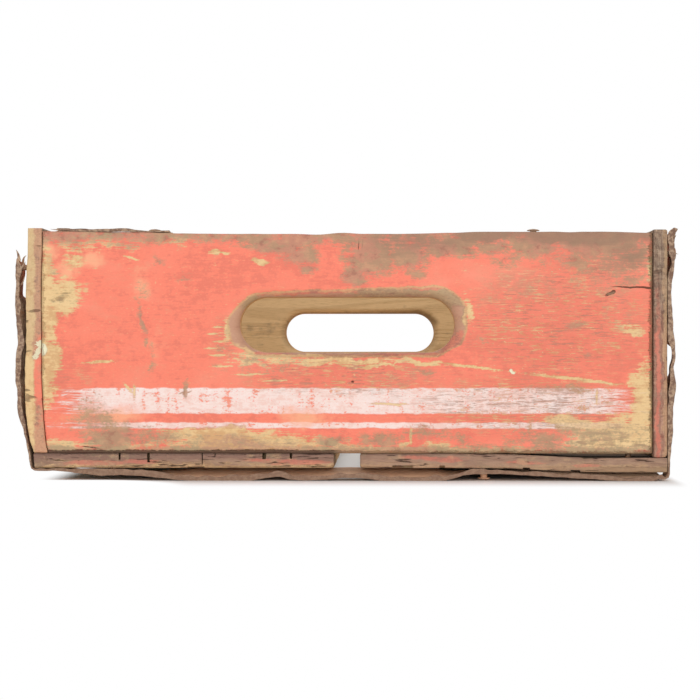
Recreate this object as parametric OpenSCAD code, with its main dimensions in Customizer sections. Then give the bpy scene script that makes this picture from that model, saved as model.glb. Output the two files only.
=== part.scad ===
// Wooden soda crate: six nailed boards, bound at each end by a buckled steel strap.
// X runs across the crate, Y along it and Z up, in millimetres.
// The origin is on the floor, under the middle of the crate.

/* [Crate] */
// Width over the side boards
crate_w = 300; // [270:5:340]
// Length over the end boards
crate_l = 464; // [400:4:540]

/* [Boards] */
// Height of an end board
end_h = 102.5; // [95:0.5:120]
// Thickness of an end board
end_t = 19; // [19:0.5:24]
// Thickness of a side board
side_t = 7; // [6:0.5:10]
// How far the side boards stand above the end boards
side_lip = 2.5; // [0.5:0.5:5]
// Thickness of a bottom board
bottom_t = 7; // [6:0.5:10]
// Gap between the two bottom boards
bottom_gap = 12; // [4:1:20]
// Radius worn on the long edges of every board
edge_r = 1.5; // [1:0.25:2.5]

/* [Hand holes] */
// Length of the straight throat of a hand hole
hole_l = 101; // [80:1:110]
// Height of the throat of a hand hole
hole_h = 26; // [22:1:32]
// Height of the hole's middle above the end board's lower edge
hole_up = 60.3; // [52:0.1:66]
// Radius routed round the hole on both faces
hole_round = 5.5; // [2:0.5:8]

/* [Straps] */
// Width of the steel strap
strap_w = 18; // [12:0.5:18.5]
// Thickness of the strap
strap_t = 0.8; // [0.5:0.1:1.2]
// Distance from the end board's outer face to the strap
strap_inset = 0.5; // [0:0.1:0.5]
// Height of the deepest buckles, which the crate stands on
buckle = 5.1; // [2:0.1:7]
// Length of the strap folded over the top of an end board
tab_l = 67; // [50:1:80]

/* [Nails] */
// Shank diameter of the nails that join the boards
box_nail_d = 2.4; // [1.8:0.1:2.8]
// Length of the nails that join the boards
box_nail_l = 38; // [30:1:40]
// Head diameter of the nails that join the boards
box_head_d = 5.4; // [4:0.1:6]
// Head thickness of the nails that join the boards
box_head_t = 0.8; // [0.6:0.1:1.2]
// Shank diameter of the strap nails
strap_nail_d = 2.2; // [1.6:0.1:2.6]
// Length of the strap nails
strap_nail_l = 26; // [20:1:30]
// Head diameter of the strap nails
strap_head_d = 6; // [4.5:0.1:7]
// Head thickness of the strap nails
strap_head_t = 1; // [0.8:0.1:1.4]
// Room round a nail's shank and head in the wood and the strap
nail_slack = 0.05; // [0.02:0.01:0.1]

/* [Hidden] */
$fn = 48;

front = -1;
rear = 1;
left = -1;
right = 1;

// Heights of the wood above the floor, which the buckles touch
wood_z = buckle + strap_t;
board_z = wood_z + bottom_t;
end_top = board_z + end_h;
rim_z = end_top + side_lip;

end_w = crate_w - 2 * side_t;
bottom_w = (crate_w - bottom_gap) / 2;
side_h = end_h + side_lip;
hole_r = hole_h / 2;
hole_reach = hole_l / 2 - hole_r;

// The strap turns each corner a little wider than the worn edge of the board
bend_gap = 0.1;
strap_bend = edge_r + bend_gap;

// Distances from the crate's middle: the strap's middle line, which its nails follow, and
// the rows of the other nails, set off from it so that no nail meets another
nail_gap = 0.2;
row_step = (box_head_d + strap_nail_d) / 2 + nail_gap;
strap_y = crate_l / 2 - strap_inset - strap_w / 2;
side_nail_y = strap_y - row_step;
bottom_nail_y = strap_y + row_step;
tab_nail_y = strap_y + strap_nail_d + nail_gap;

// Where the board nails go: heights above an end board's lower edge, and distances across
nail_edge = 18;
side_nail_heights = [for (share = [0.15, 0.5, 0.86]) share * end_h];
bottom_nail_places = [bottom_gap / 2 + nail_edge, (bottom_gap + bottom_w) / 2,
                      crate_w / 2 - nail_edge];

// Level lengths of the strap: round a nail, where it meets the floor, and at a kink
nail_margin = 1;
land = strap_head_d + 2 * nail_margin;
long_pad = 25;
pad = 20;
short_pad = 12;
kink = 6;

// How far nails have worked out of the strap. The nail at low_lift has come out until its
// head touches the floor.
seated = 0;
loose = 1;
low_lift = 0.36;
to_floor = buckle * (1 - low_lift) - strap_head_t;

// The strap's way past the wood, as stops in order. A stop is [share of the run, lift off
// the wood as a share of the buckle, level length], and one with a nail adds the nail's pull.
front_left_run = [[0.03, 0, 0], [0.09, 0, land, seated], [0.24, 0.45, 0], [0.41, 0.95, 0],
                  [0.54, 0.8, 0], [0.72, 1, 0], [0.845, 1, land, seated], [0.9, 0.75, 0]];
front_bottom_run = [[0.012, 0.1, 0], [0.13, 0.22, land, seated], [0.30, 1, long_pad],
                    [0.39, 0.66, 0], [0.43, 0.92, kink], [0.5, 0.68, 0], [0.61, 1, pad],
                    [0.715, low_lift, land, to_floor], [0.8, 0.5, 0], [0.955, 1, short_pad],
                    [0.988, 0.82, 0]];
front_right_run = [[0.03, 0.06, 0], [0.2, 0.36, land, seated], [0.35, 0.55, 0],
                   [0.42, 0.38, 0], [0.47, 0.6, 0], [0.6, 0.32, 0], [0.77, 0.26, 0],
                   [0.9, 0.48, land, loose], [0.965, 0.35, 0], [1.012, 0.85, 0]];
rear_side_run = [[0.03, 0, 0], [0.2, 0, land, seated], [0.5, 0.42, 0],
                 [0.8, 0, land, seated], [0.96, 0, 0]];
rear_bottom_run = [[0.012, 0.1, 0], [0.12, 0.3, land, seated], [0.25, 1, long_pad],
                   [0.37, 0.35, land, seated], [0.5, 0.5, 0], [0.63, 0.35, land, seated],
                   [0.75, 1, long_pad], [0.88, 0.3, land, seated], [0.988, 0.1, 0]];

// The strap over the top of an end board, as stops that hold the distance in from the
// crate's side and the height over the end board. The torn tab curls up to curl.
curl = 2.6;
step_down = 10;
tab_nail_in = tab_l - land;
rear_tab = [[side_t / 2, side_lip, 0], [side_t + edge_r, side_lip, 0],
            [side_t + edge_r + step_down, 0, 0], [0.45 * tab_l, 0, land, seated],
            [0.7 * tab_l, 0.3 * curl, 0], [tab_nail_in, 0, land, seated], [tab_l, 0, 0]];
front_tab = [[0.19 * tab_l, curl, 0], [0.27 * tab_l, 0.6 * curl, 0],
             [0.36 * tab_l, 0.3 * curl, land, seated], [0.66 * tab_l, 0.5 * curl, 0],
             [tab_nail_in, 0, land, seated], [tab_l, 0.2 * curl, 0]];

// The nail that the right tab tore off, and how far its head stands out of the wood
orphan_in = 0.93 * tab_l;
orphan_pull = 0.6;

// How deep each stroke of a torn edge cuts, as shares of the tear's depth
tear_depth = 6;
left_tear = [1, 0.2, 0.55, 0.75, 0.6, 0.9, 0.7];
right_tear = [0.1, 0.15, 0.9, 0.7, 1, 0.8, 0.95];
tab_tear = [0.15, 0.6, 0.35, 0.9, 0.5, 1, 0.8];
past = 2;

// Facets in each eased stretch and in each bend of the strap
ease_steps = 7;
bend_steps = 5;

function eased(a, b, t) = a + (b - a) * (1 - cos(180 * t)) / 2;
function reversed(list) = [for (i = [len(list) - 1 : -1 : 0]) list[i]];

// What a stop holds
function place(stop) = stop[0];
function lift(stop) = stop[1];
function level(stop) = stop[2];
function pull(stop) = stop[3];
function is_nailed(stop) = len(stop) > 3;

// The two ends of each stop's level length, as [distance along the run, lift]
function knots(run, run_l, lift_l) = [
    for (stop = run, end = level(stop) > 0 ? [-0.5, 0.5] : [0])
    [place(stop) * run_l + end * level(stop), lift(stop) * lift_l]
];

// A run's points, level at each knot and eased between them
function run_points(knot) = [
    for (i = [0 : len(knot) - 2])
        let (a = knot[i], b = knot[i + 1], steps = a[1] == b[1] ? 1 : ease_steps)
        for (k = [0 : steps - 1])
            [a[0] + (b[0] - a[0]) * k / steps, eased(a[1], b[1], k / steps)],
    knot[len(knot) - 1]
];

// The strap's face towards the wood, in X and Z, for each stretch of its way
function side_way(side, run) = [
    for (p = run_points(knots(run, rim_z - wood_z, buckle)))
    [side * (crate_w / 2 + p[1]), wood_z + p[0]]
];
function bottom_way(run) = [
    for (p = run_points(knots(run, crate_w, buckle))) [p[0] - crate_w / 2, wood_z - p[1]]
];
function tab_way(side, stops) = [
    for (p = run_points(knots(stops, 1, 1))) [side * (crate_w / 2 - p[0]), end_top + p[1]]
];

// A bend between an upright stretch at x and a level stretch at z; up is 1 at the rim
function bend(side, up, x, z) = [
    for (k = [0 : bend_steps])
        let (turn = 90 * k / bend_steps)
        [x - side * strap_bend * (1 - cos(turn)), z - up * strap_bend * (1 - sin(turn))]
];

// Unit normal on the right of a way at point i
function right_normal(way, i) =
    let (ahead = way[min(i + 1, len(way) - 1)] - way[max(i - 1, 0)])
    [ahead[1], -ahead[0]] / norm(ahead);

module strap_sheet(way, end) {
    outer = [for (i = [0 : len(way) - 1]) way[i] + strap_t * right_normal(way, i)];
    translate([0, end * strap_y + strap_w / 2, 0])
        rotate([90, 0, 0])
            linear_extrude(strap_w)
                polygon(concat(way, reversed(outer)));
}

// The main way of a strap: down one side, under the bottom and up the other
function main_way(left_run, bottom_run, right_run) =
    let (down = reversed(side_way(left, left_run)),
         under = bottom_way(bottom_run),
         up = side_way(right, right_run))
    concat(down,
           bend(left, -1, down[len(down) - 1][0], under[0][1]),
           under,
           reversed(bend(right, -1, up[0][0], under[len(under) - 1][1])),
           up);

// A nail with its head's underside at the origin and its point along -Z
module nail(d, l, head_d, head_t) {
    tip_l = 1.5 * d;
    tip_d = 0.2 * d;
    rim_t = head_t / 2;
    crown_d = 0.7 * head_d;
    cylinder(d = head_d, h = rim_t);
    translate([0, 0, rim_t]) cylinder(d1 = head_d, d2 = crown_d, h = head_t - rim_t);
    translate([0, 0, tip_l - l]) cylinder(d = d, h = l - tip_l);
    translate([0, 0, -l]) cylinder(d1 = tip_d, d2 = d, h = tip_l);
}

module nail_hole(d, l) {
    translate([0, 0, -l - nail_slack]) cylinder(d = d + 2 * nail_slack, h = 2 * l);
}

module sunk_nail_hole(d, l, head_d, head_t) {
    translate([0, 0, head_t]) nail_hole(d, l + head_t);
    cylinder(d = head_d + 2 * nail_slack, h = 2 * head_t);
}

module box_nail() {
    translate([0, 0, -box_head_t]) nail(box_nail_d, box_nail_l, box_head_d, box_head_t);
}

module box_nail_hole() {
    translate([0, 0, -box_head_t])
        sunk_nail_hole(box_nail_d, box_nail_l, box_head_d, box_head_t);
}

module strap_nail() {
    nail(strap_nail_d, strap_nail_l, strap_head_d, strap_head_t);
}

module strap_nail_hole() {
    nail_hole(strap_nail_d, strap_nail_l);
}

// Places for nails: +Z of the children points out of the wood
module on_side(side, y, z) {
    translate([side * crate_w / 2, y, z]) rotate([0, side * 90, 0]) children();
}

module under_bottom(x, y) {
    translate([x, y, wood_z]) rotate([180, 0, 0]) children();
}

module at_side_nails(end, side) {
    for (up = side_nail_heights) on_side(side, end * side_nail_y, board_z + up) children();
}

module at_bottom_nails(end, side) {
    for (x = bottom_nail_places) under_bottom(side * x, end * bottom_nail_y) children();
}

module at_side_strap_nails(end, side, run) {
    for (stop = run) if (is_nailed(stop))
        on_side(side, end * strap_y, wood_z + place(stop) * (rim_z - wood_z))
            translate([0, 0, lift(stop) * buckle + strap_t + pull(stop)])
                children();
}

module at_bottom_strap_nails(end, run) {
    for (stop = run) if (is_nailed(stop))
        under_bottom(place(stop) * crate_w - crate_w / 2, end * strap_y)
            translate([0, 0, lift(stop) * buckle + strap_t + pull(stop)])
                children();
}

module at_tab_nails(end, side, stops) {
    for (stop = stops) if (is_nailed(stop))
        translate([side * (crate_w / 2 - place(stop)), end * tab_nail_y,
                   end_top + lift(stop) + strap_t + pull(stop)])
            children();
}

module at_orphan_nail() {
    translate([crate_w / 2 - orphan_in, front * tab_nail_y, end_top + orphan_pull]) children();
}

// Every nail that goes into the boards at one end
module at_strap_nails(end) {
    if (end == front) {
        at_side_strap_nails(end, left, front_left_run) children();
        at_side_strap_nails(end, right, front_right_run) children();
        at_bottom_strap_nails(end, front_bottom_run) children();
        at_tab_nails(end, left, front_tab) children();
        at_orphan_nail() children();
    } else {
        for (side = [left, right]) {
            at_side_strap_nails(end, side, rear_side_run) children();
            at_tab_nails(end, side, rear_tab) children();
        }
        at_bottom_strap_nails(end, rear_bottom_run) children();
    }
}

// Section of a board that stands on Z = 0, with its four edges worn round
module worn_section(w, h) {
    translate([edge_r - w / 2, 0]) square([w - 2 * edge_r, h]);
    translate([-w / 2, edge_r]) square([w, h - 2 * edge_r]);
    for (x = [-1, 1], y = [edge_r, h - edge_r])
        translate([x * (w / 2 - edge_r), y]) circle(edge_r);
}

// Half section of the hand hole's end, from its middle line out, through the board's thickness
module hole_section() {
    difference() {
        translate([0, -end_t / 2 - past]) square([hole_r + hole_round, end_t + 2 * past]);
        translate([hole_r, -end_t / 2 + hole_round])
            square([2 * hole_round, end_t - 2 * hole_round]);
        for (face = [-1, 1])
            translate([hole_r + hole_round, face * (end_t / 2 - hole_round)])
                circle(hole_round);
    }
}

module hand_hole() {
    rotate([90, 0, 0]) {
        for (side = [-1, 1]) translate([side * hole_reach, 0, 0]) rotate_extrude() hole_section();
        for (turn = [0, 180])
            rotate([0, 0, turn]) rotate([90, 0, 90])
                linear_extrude(2 * hole_reach, center = true) hole_section();
    }
}

module end_board(end) {
    color("indianred") difference() {
        translate([0, end * (crate_l - end_t) / 2, board_z])
            rotate([90, 0, 90]) linear_extrude(end_w, center = true) worn_section(end_t, end_h);
        translate([0, end * (crate_l - end_t) / 2, board_z + hole_up]) hand_hole();
        for (side = [left, right]) {
            at_side_nails(end, side) box_nail_hole();
            at_bottom_nails(end, side) box_nail_hole();
        }
        at_strap_nails(end) strap_nail_hole();
    }
}

module side_board(side) {
    color("goldenrod") difference() {
        translate([side * (crate_w - side_t) / 2, crate_l / 2, board_z])
            rotate([90, 0, 0]) linear_extrude(crate_l) worn_section(side_t, side_h);
        for (end = [front, rear]) {
            at_side_nails(end, side) box_nail_hole();
            at_strap_nails(end) strap_nail_hole();
        }
    }
}

module bottom_board(side) {
    color("sienna") difference() {
        translate([side * (bottom_gap + bottom_w) / 2, crate_l / 2, wood_z])
            rotate([90, 0, 0]) linear_extrude(crate_l) worn_section(bottom_w, bottom_t);
        for (end = [front, rear]) {
            at_bottom_nails(end, side) box_nail_hole();
            at_strap_nails(end) strap_nail_hole();
        }
    }
}

// Cuts a torn edge across a strap: strokes go down Z from the origin, and the cut runs along X
module tear(strokes) {
    step = strap_w / (len(strokes) - 1);
    edge = [for (i = [0 : len(strokes) - 1]) [i * step - strap_w / 2, -strokes[i] * tear_depth]];
    rotate([90, 0, 90])
        linear_extrude(4 * (buckle + strap_t), center = true)
            polygon(concat([[-strap_w, past], [-strap_w, edge[0][1]]], edge,
                           [[strap_w, edge[len(edge) - 1][1]], [strap_w, past]]));
}

module torn_top(side, run, strokes) {
    top = place(run[len(run) - 1]) * (rim_z - wood_z);
    translate([side * crate_w / 2, front * strap_y, wood_z + top]) tear(strokes);
}

module strap_front() {
    color("dimgray") difference() {
        strap_sheet(main_way(front_left_run, front_bottom_run, front_right_run), front);
        torn_top(left, front_left_run, left_tear);
        torn_top(right, front_right_run, right_tear);
        at_strap_nails(front) strap_nail_hole();
    }
}

module strap_tab_front() {
    color("dimgray") difference() {
        strap_sheet(reversed(tab_way(left, front_tab)), front);
        translate([place(front_tab[0]) - crate_w / 2, front * strap_y, end_top])
            rotate([0, -90, 0]) tear(tab_tear);
        at_strap_nails(front) strap_nail_hole();
    }
}

module strap_rear() {
    tab_left = reversed(tab_way(left, rear_tab));
    tab_right = tab_way(right, rear_tab);
    main = main_way(rear_side_run, rear_bottom_run, rear_side_run);
    color("dimgray") difference() {
        strap_sheet(concat(tab_left,
                           reversed(bend(left, 1, main[0][0], end_top + side_lip)),
                           main,
                           bend(right, 1, -main[0][0], end_top + side_lip),
                           tab_right), rear);
        at_strap_nails(rear) strap_nail_hole();
    }
}

module side_nails(end, side) {
    color("slategray") at_side_nails(end, side) box_nail();
}

module bottom_nails(end) {
    color("slategray") for (side = [left, right]) at_bottom_nails(end, side) box_nail();
}

module side_strap_nails(end, side, run) {
    color("rosybrown") at_side_strap_nails(end, side, run) strap_nail();
}

module bottom_strap_nails(end, run) {
    color("rosybrown") at_bottom_strap_nails(end, run) strap_nail();
}

module tab_nails(end, side, stops) {
    color("rosybrown") at_tab_nails(end, side, stops) strap_nail();
}

module orphan_nail_front() {
    color("rosybrown") at_orphan_nail() strap_nail();
}

end_board(front);  // end_board_front
end_board(rear);  // end_board_rear
side_board(left);  // side_board_left
side_board(right);  // side_board_right
bottom_board(left);  // bottom_board_left
bottom_board(right);  // bottom_board_right
strap_front();
strap_tab_front();
strap_rear();
side_nails(front, left);  // side_nails_front_left
side_nails(front, right);  // side_nails_front_right
side_nails(rear, left);  // side_nails_rear_left
side_nails(rear, right);  // side_nails_rear_right
bottom_nails(front);  // bottom_nails_front
bottom_nails(rear);  // bottom_nails_rear
side_strap_nails(front, left, front_left_run);  // strap_nails_front_left
side_strap_nails(front, right, front_right_run);  // strap_nails_front_right
bottom_strap_nails(front, front_bottom_run);  // strap_nails_front_bottom
tab_nails(front, left, front_tab);  // tab_nails_front_left
orphan_nail_front();
side_strap_nails(rear, left, rear_side_run);  // strap_nails_rear_left
side_strap_nails(rear, right, rear_side_run);  // strap_nails_rear_right
bottom_strap_nails(rear, rear_bottom_run);  // strap_nails_rear_bottom
tab_nails(rear, left, rear_tab);  // tab_nails_rear_left
tab_nails(rear, right, rear_tab);  // tab_nails_rear_right
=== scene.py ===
"""Looks of the wooden soda crate: worn painted boards, buckled steel straps and rusty nails.

Everything is in metres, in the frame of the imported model: X runs across the crate, Y along it
and Z up. Each piece takes its place from the box or the mesh of the node that it stands for.
Places on a board's painted face are written in millimetres, as a maker would mark them out.
"""
import logging
import math
from dataclasses import dataclass, field
from enum import Enum

import bmesh
import bpy
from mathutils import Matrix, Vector, noise


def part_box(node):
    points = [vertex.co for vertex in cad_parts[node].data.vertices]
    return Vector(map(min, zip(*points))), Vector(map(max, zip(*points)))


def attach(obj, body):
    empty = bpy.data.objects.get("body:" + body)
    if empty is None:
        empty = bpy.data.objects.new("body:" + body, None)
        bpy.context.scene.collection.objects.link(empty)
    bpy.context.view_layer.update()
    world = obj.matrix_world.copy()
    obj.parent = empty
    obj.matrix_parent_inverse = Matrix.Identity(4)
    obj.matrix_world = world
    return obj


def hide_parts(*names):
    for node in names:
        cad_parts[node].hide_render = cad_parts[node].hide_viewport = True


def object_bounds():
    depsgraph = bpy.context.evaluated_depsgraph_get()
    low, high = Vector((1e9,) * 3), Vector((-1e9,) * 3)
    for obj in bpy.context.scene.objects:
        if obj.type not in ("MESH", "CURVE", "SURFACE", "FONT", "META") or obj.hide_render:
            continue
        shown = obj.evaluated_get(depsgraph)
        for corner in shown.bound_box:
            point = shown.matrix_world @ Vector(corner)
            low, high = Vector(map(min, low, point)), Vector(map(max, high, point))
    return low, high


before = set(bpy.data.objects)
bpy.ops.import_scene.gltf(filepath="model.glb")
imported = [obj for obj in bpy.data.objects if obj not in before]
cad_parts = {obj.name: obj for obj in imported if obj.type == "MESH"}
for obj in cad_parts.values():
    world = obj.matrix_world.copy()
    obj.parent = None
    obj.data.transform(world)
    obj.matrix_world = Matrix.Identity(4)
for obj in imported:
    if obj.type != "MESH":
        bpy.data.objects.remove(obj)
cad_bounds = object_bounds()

log = logging.getLogger("crate")

MM = 0.001
Socket = bpy.types.NodeSocket
Value = float | Socket
Place = tuple[float, float, float]


class End(Enum):
    """An end of the crate, as the sign of its Y."""

    FRONT = -1
    REAR = 1


class Side(Enum):
    """A long side of the crate, as the sign of its X."""

    LEFT = -1
    RIGHT = 1


class Run(Enum):
    """The frame axis that a board's grain follows, and the one that looks through it."""

    ACROSS = (0, 1)
    ALONG = (1, 0)


def eased(value: float, low: float, high: float) -> float:
    """Rises smoothly from 0 at low to 1 at high.

    Args:
        value: Where the rise is read.
        low: Where it starts.
        high: Where it ends; less than low for a fall.

    Returns:
        The height of the rise, 0 to 1.
    """
    share = min(max((value - low) / (high - low), 0.0), 1.0)
    return share * share * (3.0 - 2.0 * share)


def lumps(point: Vector, size: float, seed: float) -> float:
    """Smooth noise.

    Args:
        point: Where the noise is read.
        size: Rough length of a lump, in metres.
        seed: Picks one noise out of many.

    Returns:
        About -1 to 1.
    """
    return noise.noise(point / size + Vector((seed, 1.7 * seed, 0.3 * seed)))


def shade(red: int, green: int, blue: int) -> tuple[float, float, float, float]:
    """Turns a colour as seen on screen into the linear one that a shader takes.

    Args:
        red: Red, 0 to 255.
        green: Green, 0 to 255.
        blue: Blue, 0 to 255.

    Returns:
        Linear red, green and blue, and an opaque alpha.
    """
    def linear(level: int) -> float:
        """Undoes the screen's curve for one channel."""
        part = level / 255
        return part / 12.92 if part <= 0.04045 else ((part + 0.055) / 1.055) ** 2.4

    return linear(red), linear(green), linear(blue), 1.0


def follow(value: float, knots: tuple[tuple[float, float], ...]) -> float:
    """Reads a smooth line that passes through knots.

    Args:
        value: Where it is read.
        knots: Its knots in order, each as a place and a height.

    Returns:
        The line's height, level before the first knot and past the last.
    """
    for (x0, y0), (x1, y1) in zip(knots, knots[1:]):
        if value < x1:
            return y0 + (y1 - y0) * eased(value, x0, x1)
    return knots[-1][1]


@dataclass
class Settling:
    """How the old crate has racked: its boards no longer sit where they were nailed.

    Attributes:
        lean: How far the left side has come in at the front, by height, in millimetres.
        strap_lean: The same for the strap past it.
        crown: How far the front end's top edge has come up, by distance across.
        drop: How far the right bottom board hangs at the crate's front corner.
        drop_from: Distance across at which the drop starts.
        drop_to: Distance across at which it is full.
        swell: How far the left side board's splintered front end bulges outwards.
        bulge: How much further its swollen foot does, by height.
        sag: How far the front strap hangs under the left bottom board, by distance across.
    """

    lean: tuple = ((5, 2.8), (13, 2.3), (18, 1.3), (23, 0.8), (30, 0.3), (37, -0.3), (50, -0.7),
                   (90, -0.9), (112, -0.4))
    strap_lean: tuple = ((7, 1.6), (11, 1.1), (17, 0), (22, -0.9), (34, -1.8), (44, -0.5),
                         (56, -0.3), (64, 0))
    crown: tuple = ((-138, 1.9), (-110, 1.6), (-86, 1.5), (-79, 0.9), (-66, 0.75), (-22, 0.6),
                    (-13, 0.3), (-2, 1.2), (7, 0.65), (34, 0.8), (48, 1.1), (62, 1.6),
                    (119, 1.6), (139, 1.1))
    drop: float = 1.9 * MM
    drop_from: float = 62 * MM
    drop_to: float = 122 * MM
    swell: float = 0.4 * MM
    bulge: tuple = ((14, 0), (20, 0.9), (27, 1.5), (40, 1.3), (52, 0.9), (64, 0.2), (72, 0))
    sag: tuple = ((-134, 0), (-125, 0.7), (-116, 1.6), (-104, 1.3), (-92, 0.5), (-83, -0.2),
                  (-72, 0))

    def swell_at(self, point: Vector) -> float:
        """Returns how far the left side board's splintered front end bulges outwards."""
        share = eased(point.z, 18 * MM, 30 * MM) * eased(point.z, 106 * MM, 97 * MM)
        ragged = 0.75 + 0.8 * lumps(point, 5 * MM, 3.0) + 0.5 * lumps(point, 2 * MM, 9.0)
        more = follow(point.z / MM, self.bulge) * MM * (0.85 + 0.5 * lumps(point, 4 * MM, 5.0))
        return (self.swell * share * ragged + more) * eased(point.y, -0.2, -0.228)

    def crown_at(self, point: Vector) -> float:
        """Returns how far the front end's top edge stands over its usual height."""
        return follow(point.x / MM, self.crown) * MM if point.y < 0 else 0.0

    def nearness(self, y: float) -> float:
        """Says how near to the front end a point is: 1 there, and 0 past the middle."""
        return eased(y, -0.02, -0.2)

    def lean_at(self, point: Vector) -> float:
        """Returns how far a point of the left side has come in."""
        if point.x > -0.125:
            return 0.0
        share = eased(point.x, -0.125, -0.142) * self.nearness(point.y)
        return follow(point.z / MM, self.lean) * share * MM

    def strap_lean_at(self, point: Vector) -> float:
        """Returns how far a point of the strap past the left side has come in."""
        share = eased(point.x, -0.125, -0.146) * self.nearness(point.y)
        return follow(point.z / MM, self.strap_lean) * share * MM

    def drop_at(self, point: Vector) -> float:
        """Returns how far a point of the right bottom board hangs."""
        return self.drop * eased(point.x, self.drop_from, self.drop_to) * self.nearness(point.y)


SETTLING = Settling()


class Shape:
    """Corners and faces of one piece while it is built."""

    def __init__(self) -> None:
        """Starts with nothing."""
        self.points: list[Vector] = []
        self.faces: list[tuple[int, ...]] = []

    def rows(self, rows: list[list[Vector]], ring: bool = False, closed: bool = False) -> int:
        """Adds a grid of four-sided faces.

        Args:
            rows: Rows of points, each of the same length.
            ring: Joins the last point of each row to its first.
            closed: Joins the last row to the first.

        Returns:
            The number of the grid's first point.
        """
        start = len(self.points)
        count, width = len(rows), len(rows[0])
        for row in rows:
            self.points.extend(row)
        for i in range(count if closed else count - 1):
            for j in range(width if ring else width - 1):
                here, ahead = i * width, (i + 1) % count * width
                k = (j + 1) % width
                self.faces.append((start + here + j, start + here + k,
                                   start + ahead + k, start + ahead + j))
        return start

    def tube(self, path: list[Vector], widths: list[float], up: Vector, flat: float) -> None:
        """Adds a closed tapering sliver or wire.

        Args:
            path: The points that it follows.
            widths: Its width at each point; near 0 at an end that comes to a point.
            up: Rough direction of its flat faces.
            flat: Its thickness as a share of its width.
        """
        rows = []
        for i, point in enumerate(path):
            ahead = (path[min(i + 1, len(path) - 1)] - path[max(i - 1, 0)]).normalized()
            across = ahead.cross(up).normalized()
            lift = across.cross(ahead)
            rows.append([point + across * (math.cos(turn) * widths[i] / 2)
                         + lift * (math.sin(turn) * widths[i] * flat / 2)
                         for turn in (math.tau * k / 6 for k in range(6))])
        start = self.rows(rows, ring=True)
        last = start + 6 * (len(path) - 1)
        self.faces.append(tuple(range(start + 5, start - 1, -1)))
        self.faces.append(tuple(range(last, last + 6)))

    def piece(self, name: str, slot: str, *nodes: str, crease: float = 38) -> bpy.types.Object:
        """Makes the object, and says what it stands for.

        Args:
            name: Its name.
            slot: Not used.
            nodes: The nodes that it replaces.
            crease: Angle in degrees past which two faces meet in a sharp edge.

        Returns:
            The new object, which rides on the crate.
        """
        mesh = bpy.data.meshes.new(name)
        mesh.from_pydata(self.points, [], self.faces)
        work = bmesh.new()
        work.from_mesh(mesh)
        bmesh.ops.remove_doubles(work, verts=work.verts, dist=2e-6)
        bmesh.ops.dissolve_degenerate(work, edges=work.edges, dist=2e-6)
        bmesh.ops.recalc_face_normals(work, faces=work.faces)
        work.to_mesh(mesh)
        work.free()
        mesh.polygons.foreach_set("use_smooth", [True] * len(mesh.polygons))
        mesh.set_sharp_from_angle(angle=math.radians(crease))
        made = bpy.data.objects.new(name, mesh)
        bpy.context.scene.collection.objects.link(made)
        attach(made, "root")
        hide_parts(*nodes)
        log.info("%s: %d faces, stands for %s", name, len(mesh.polygons), ", ".join(nodes))
        return made


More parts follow.
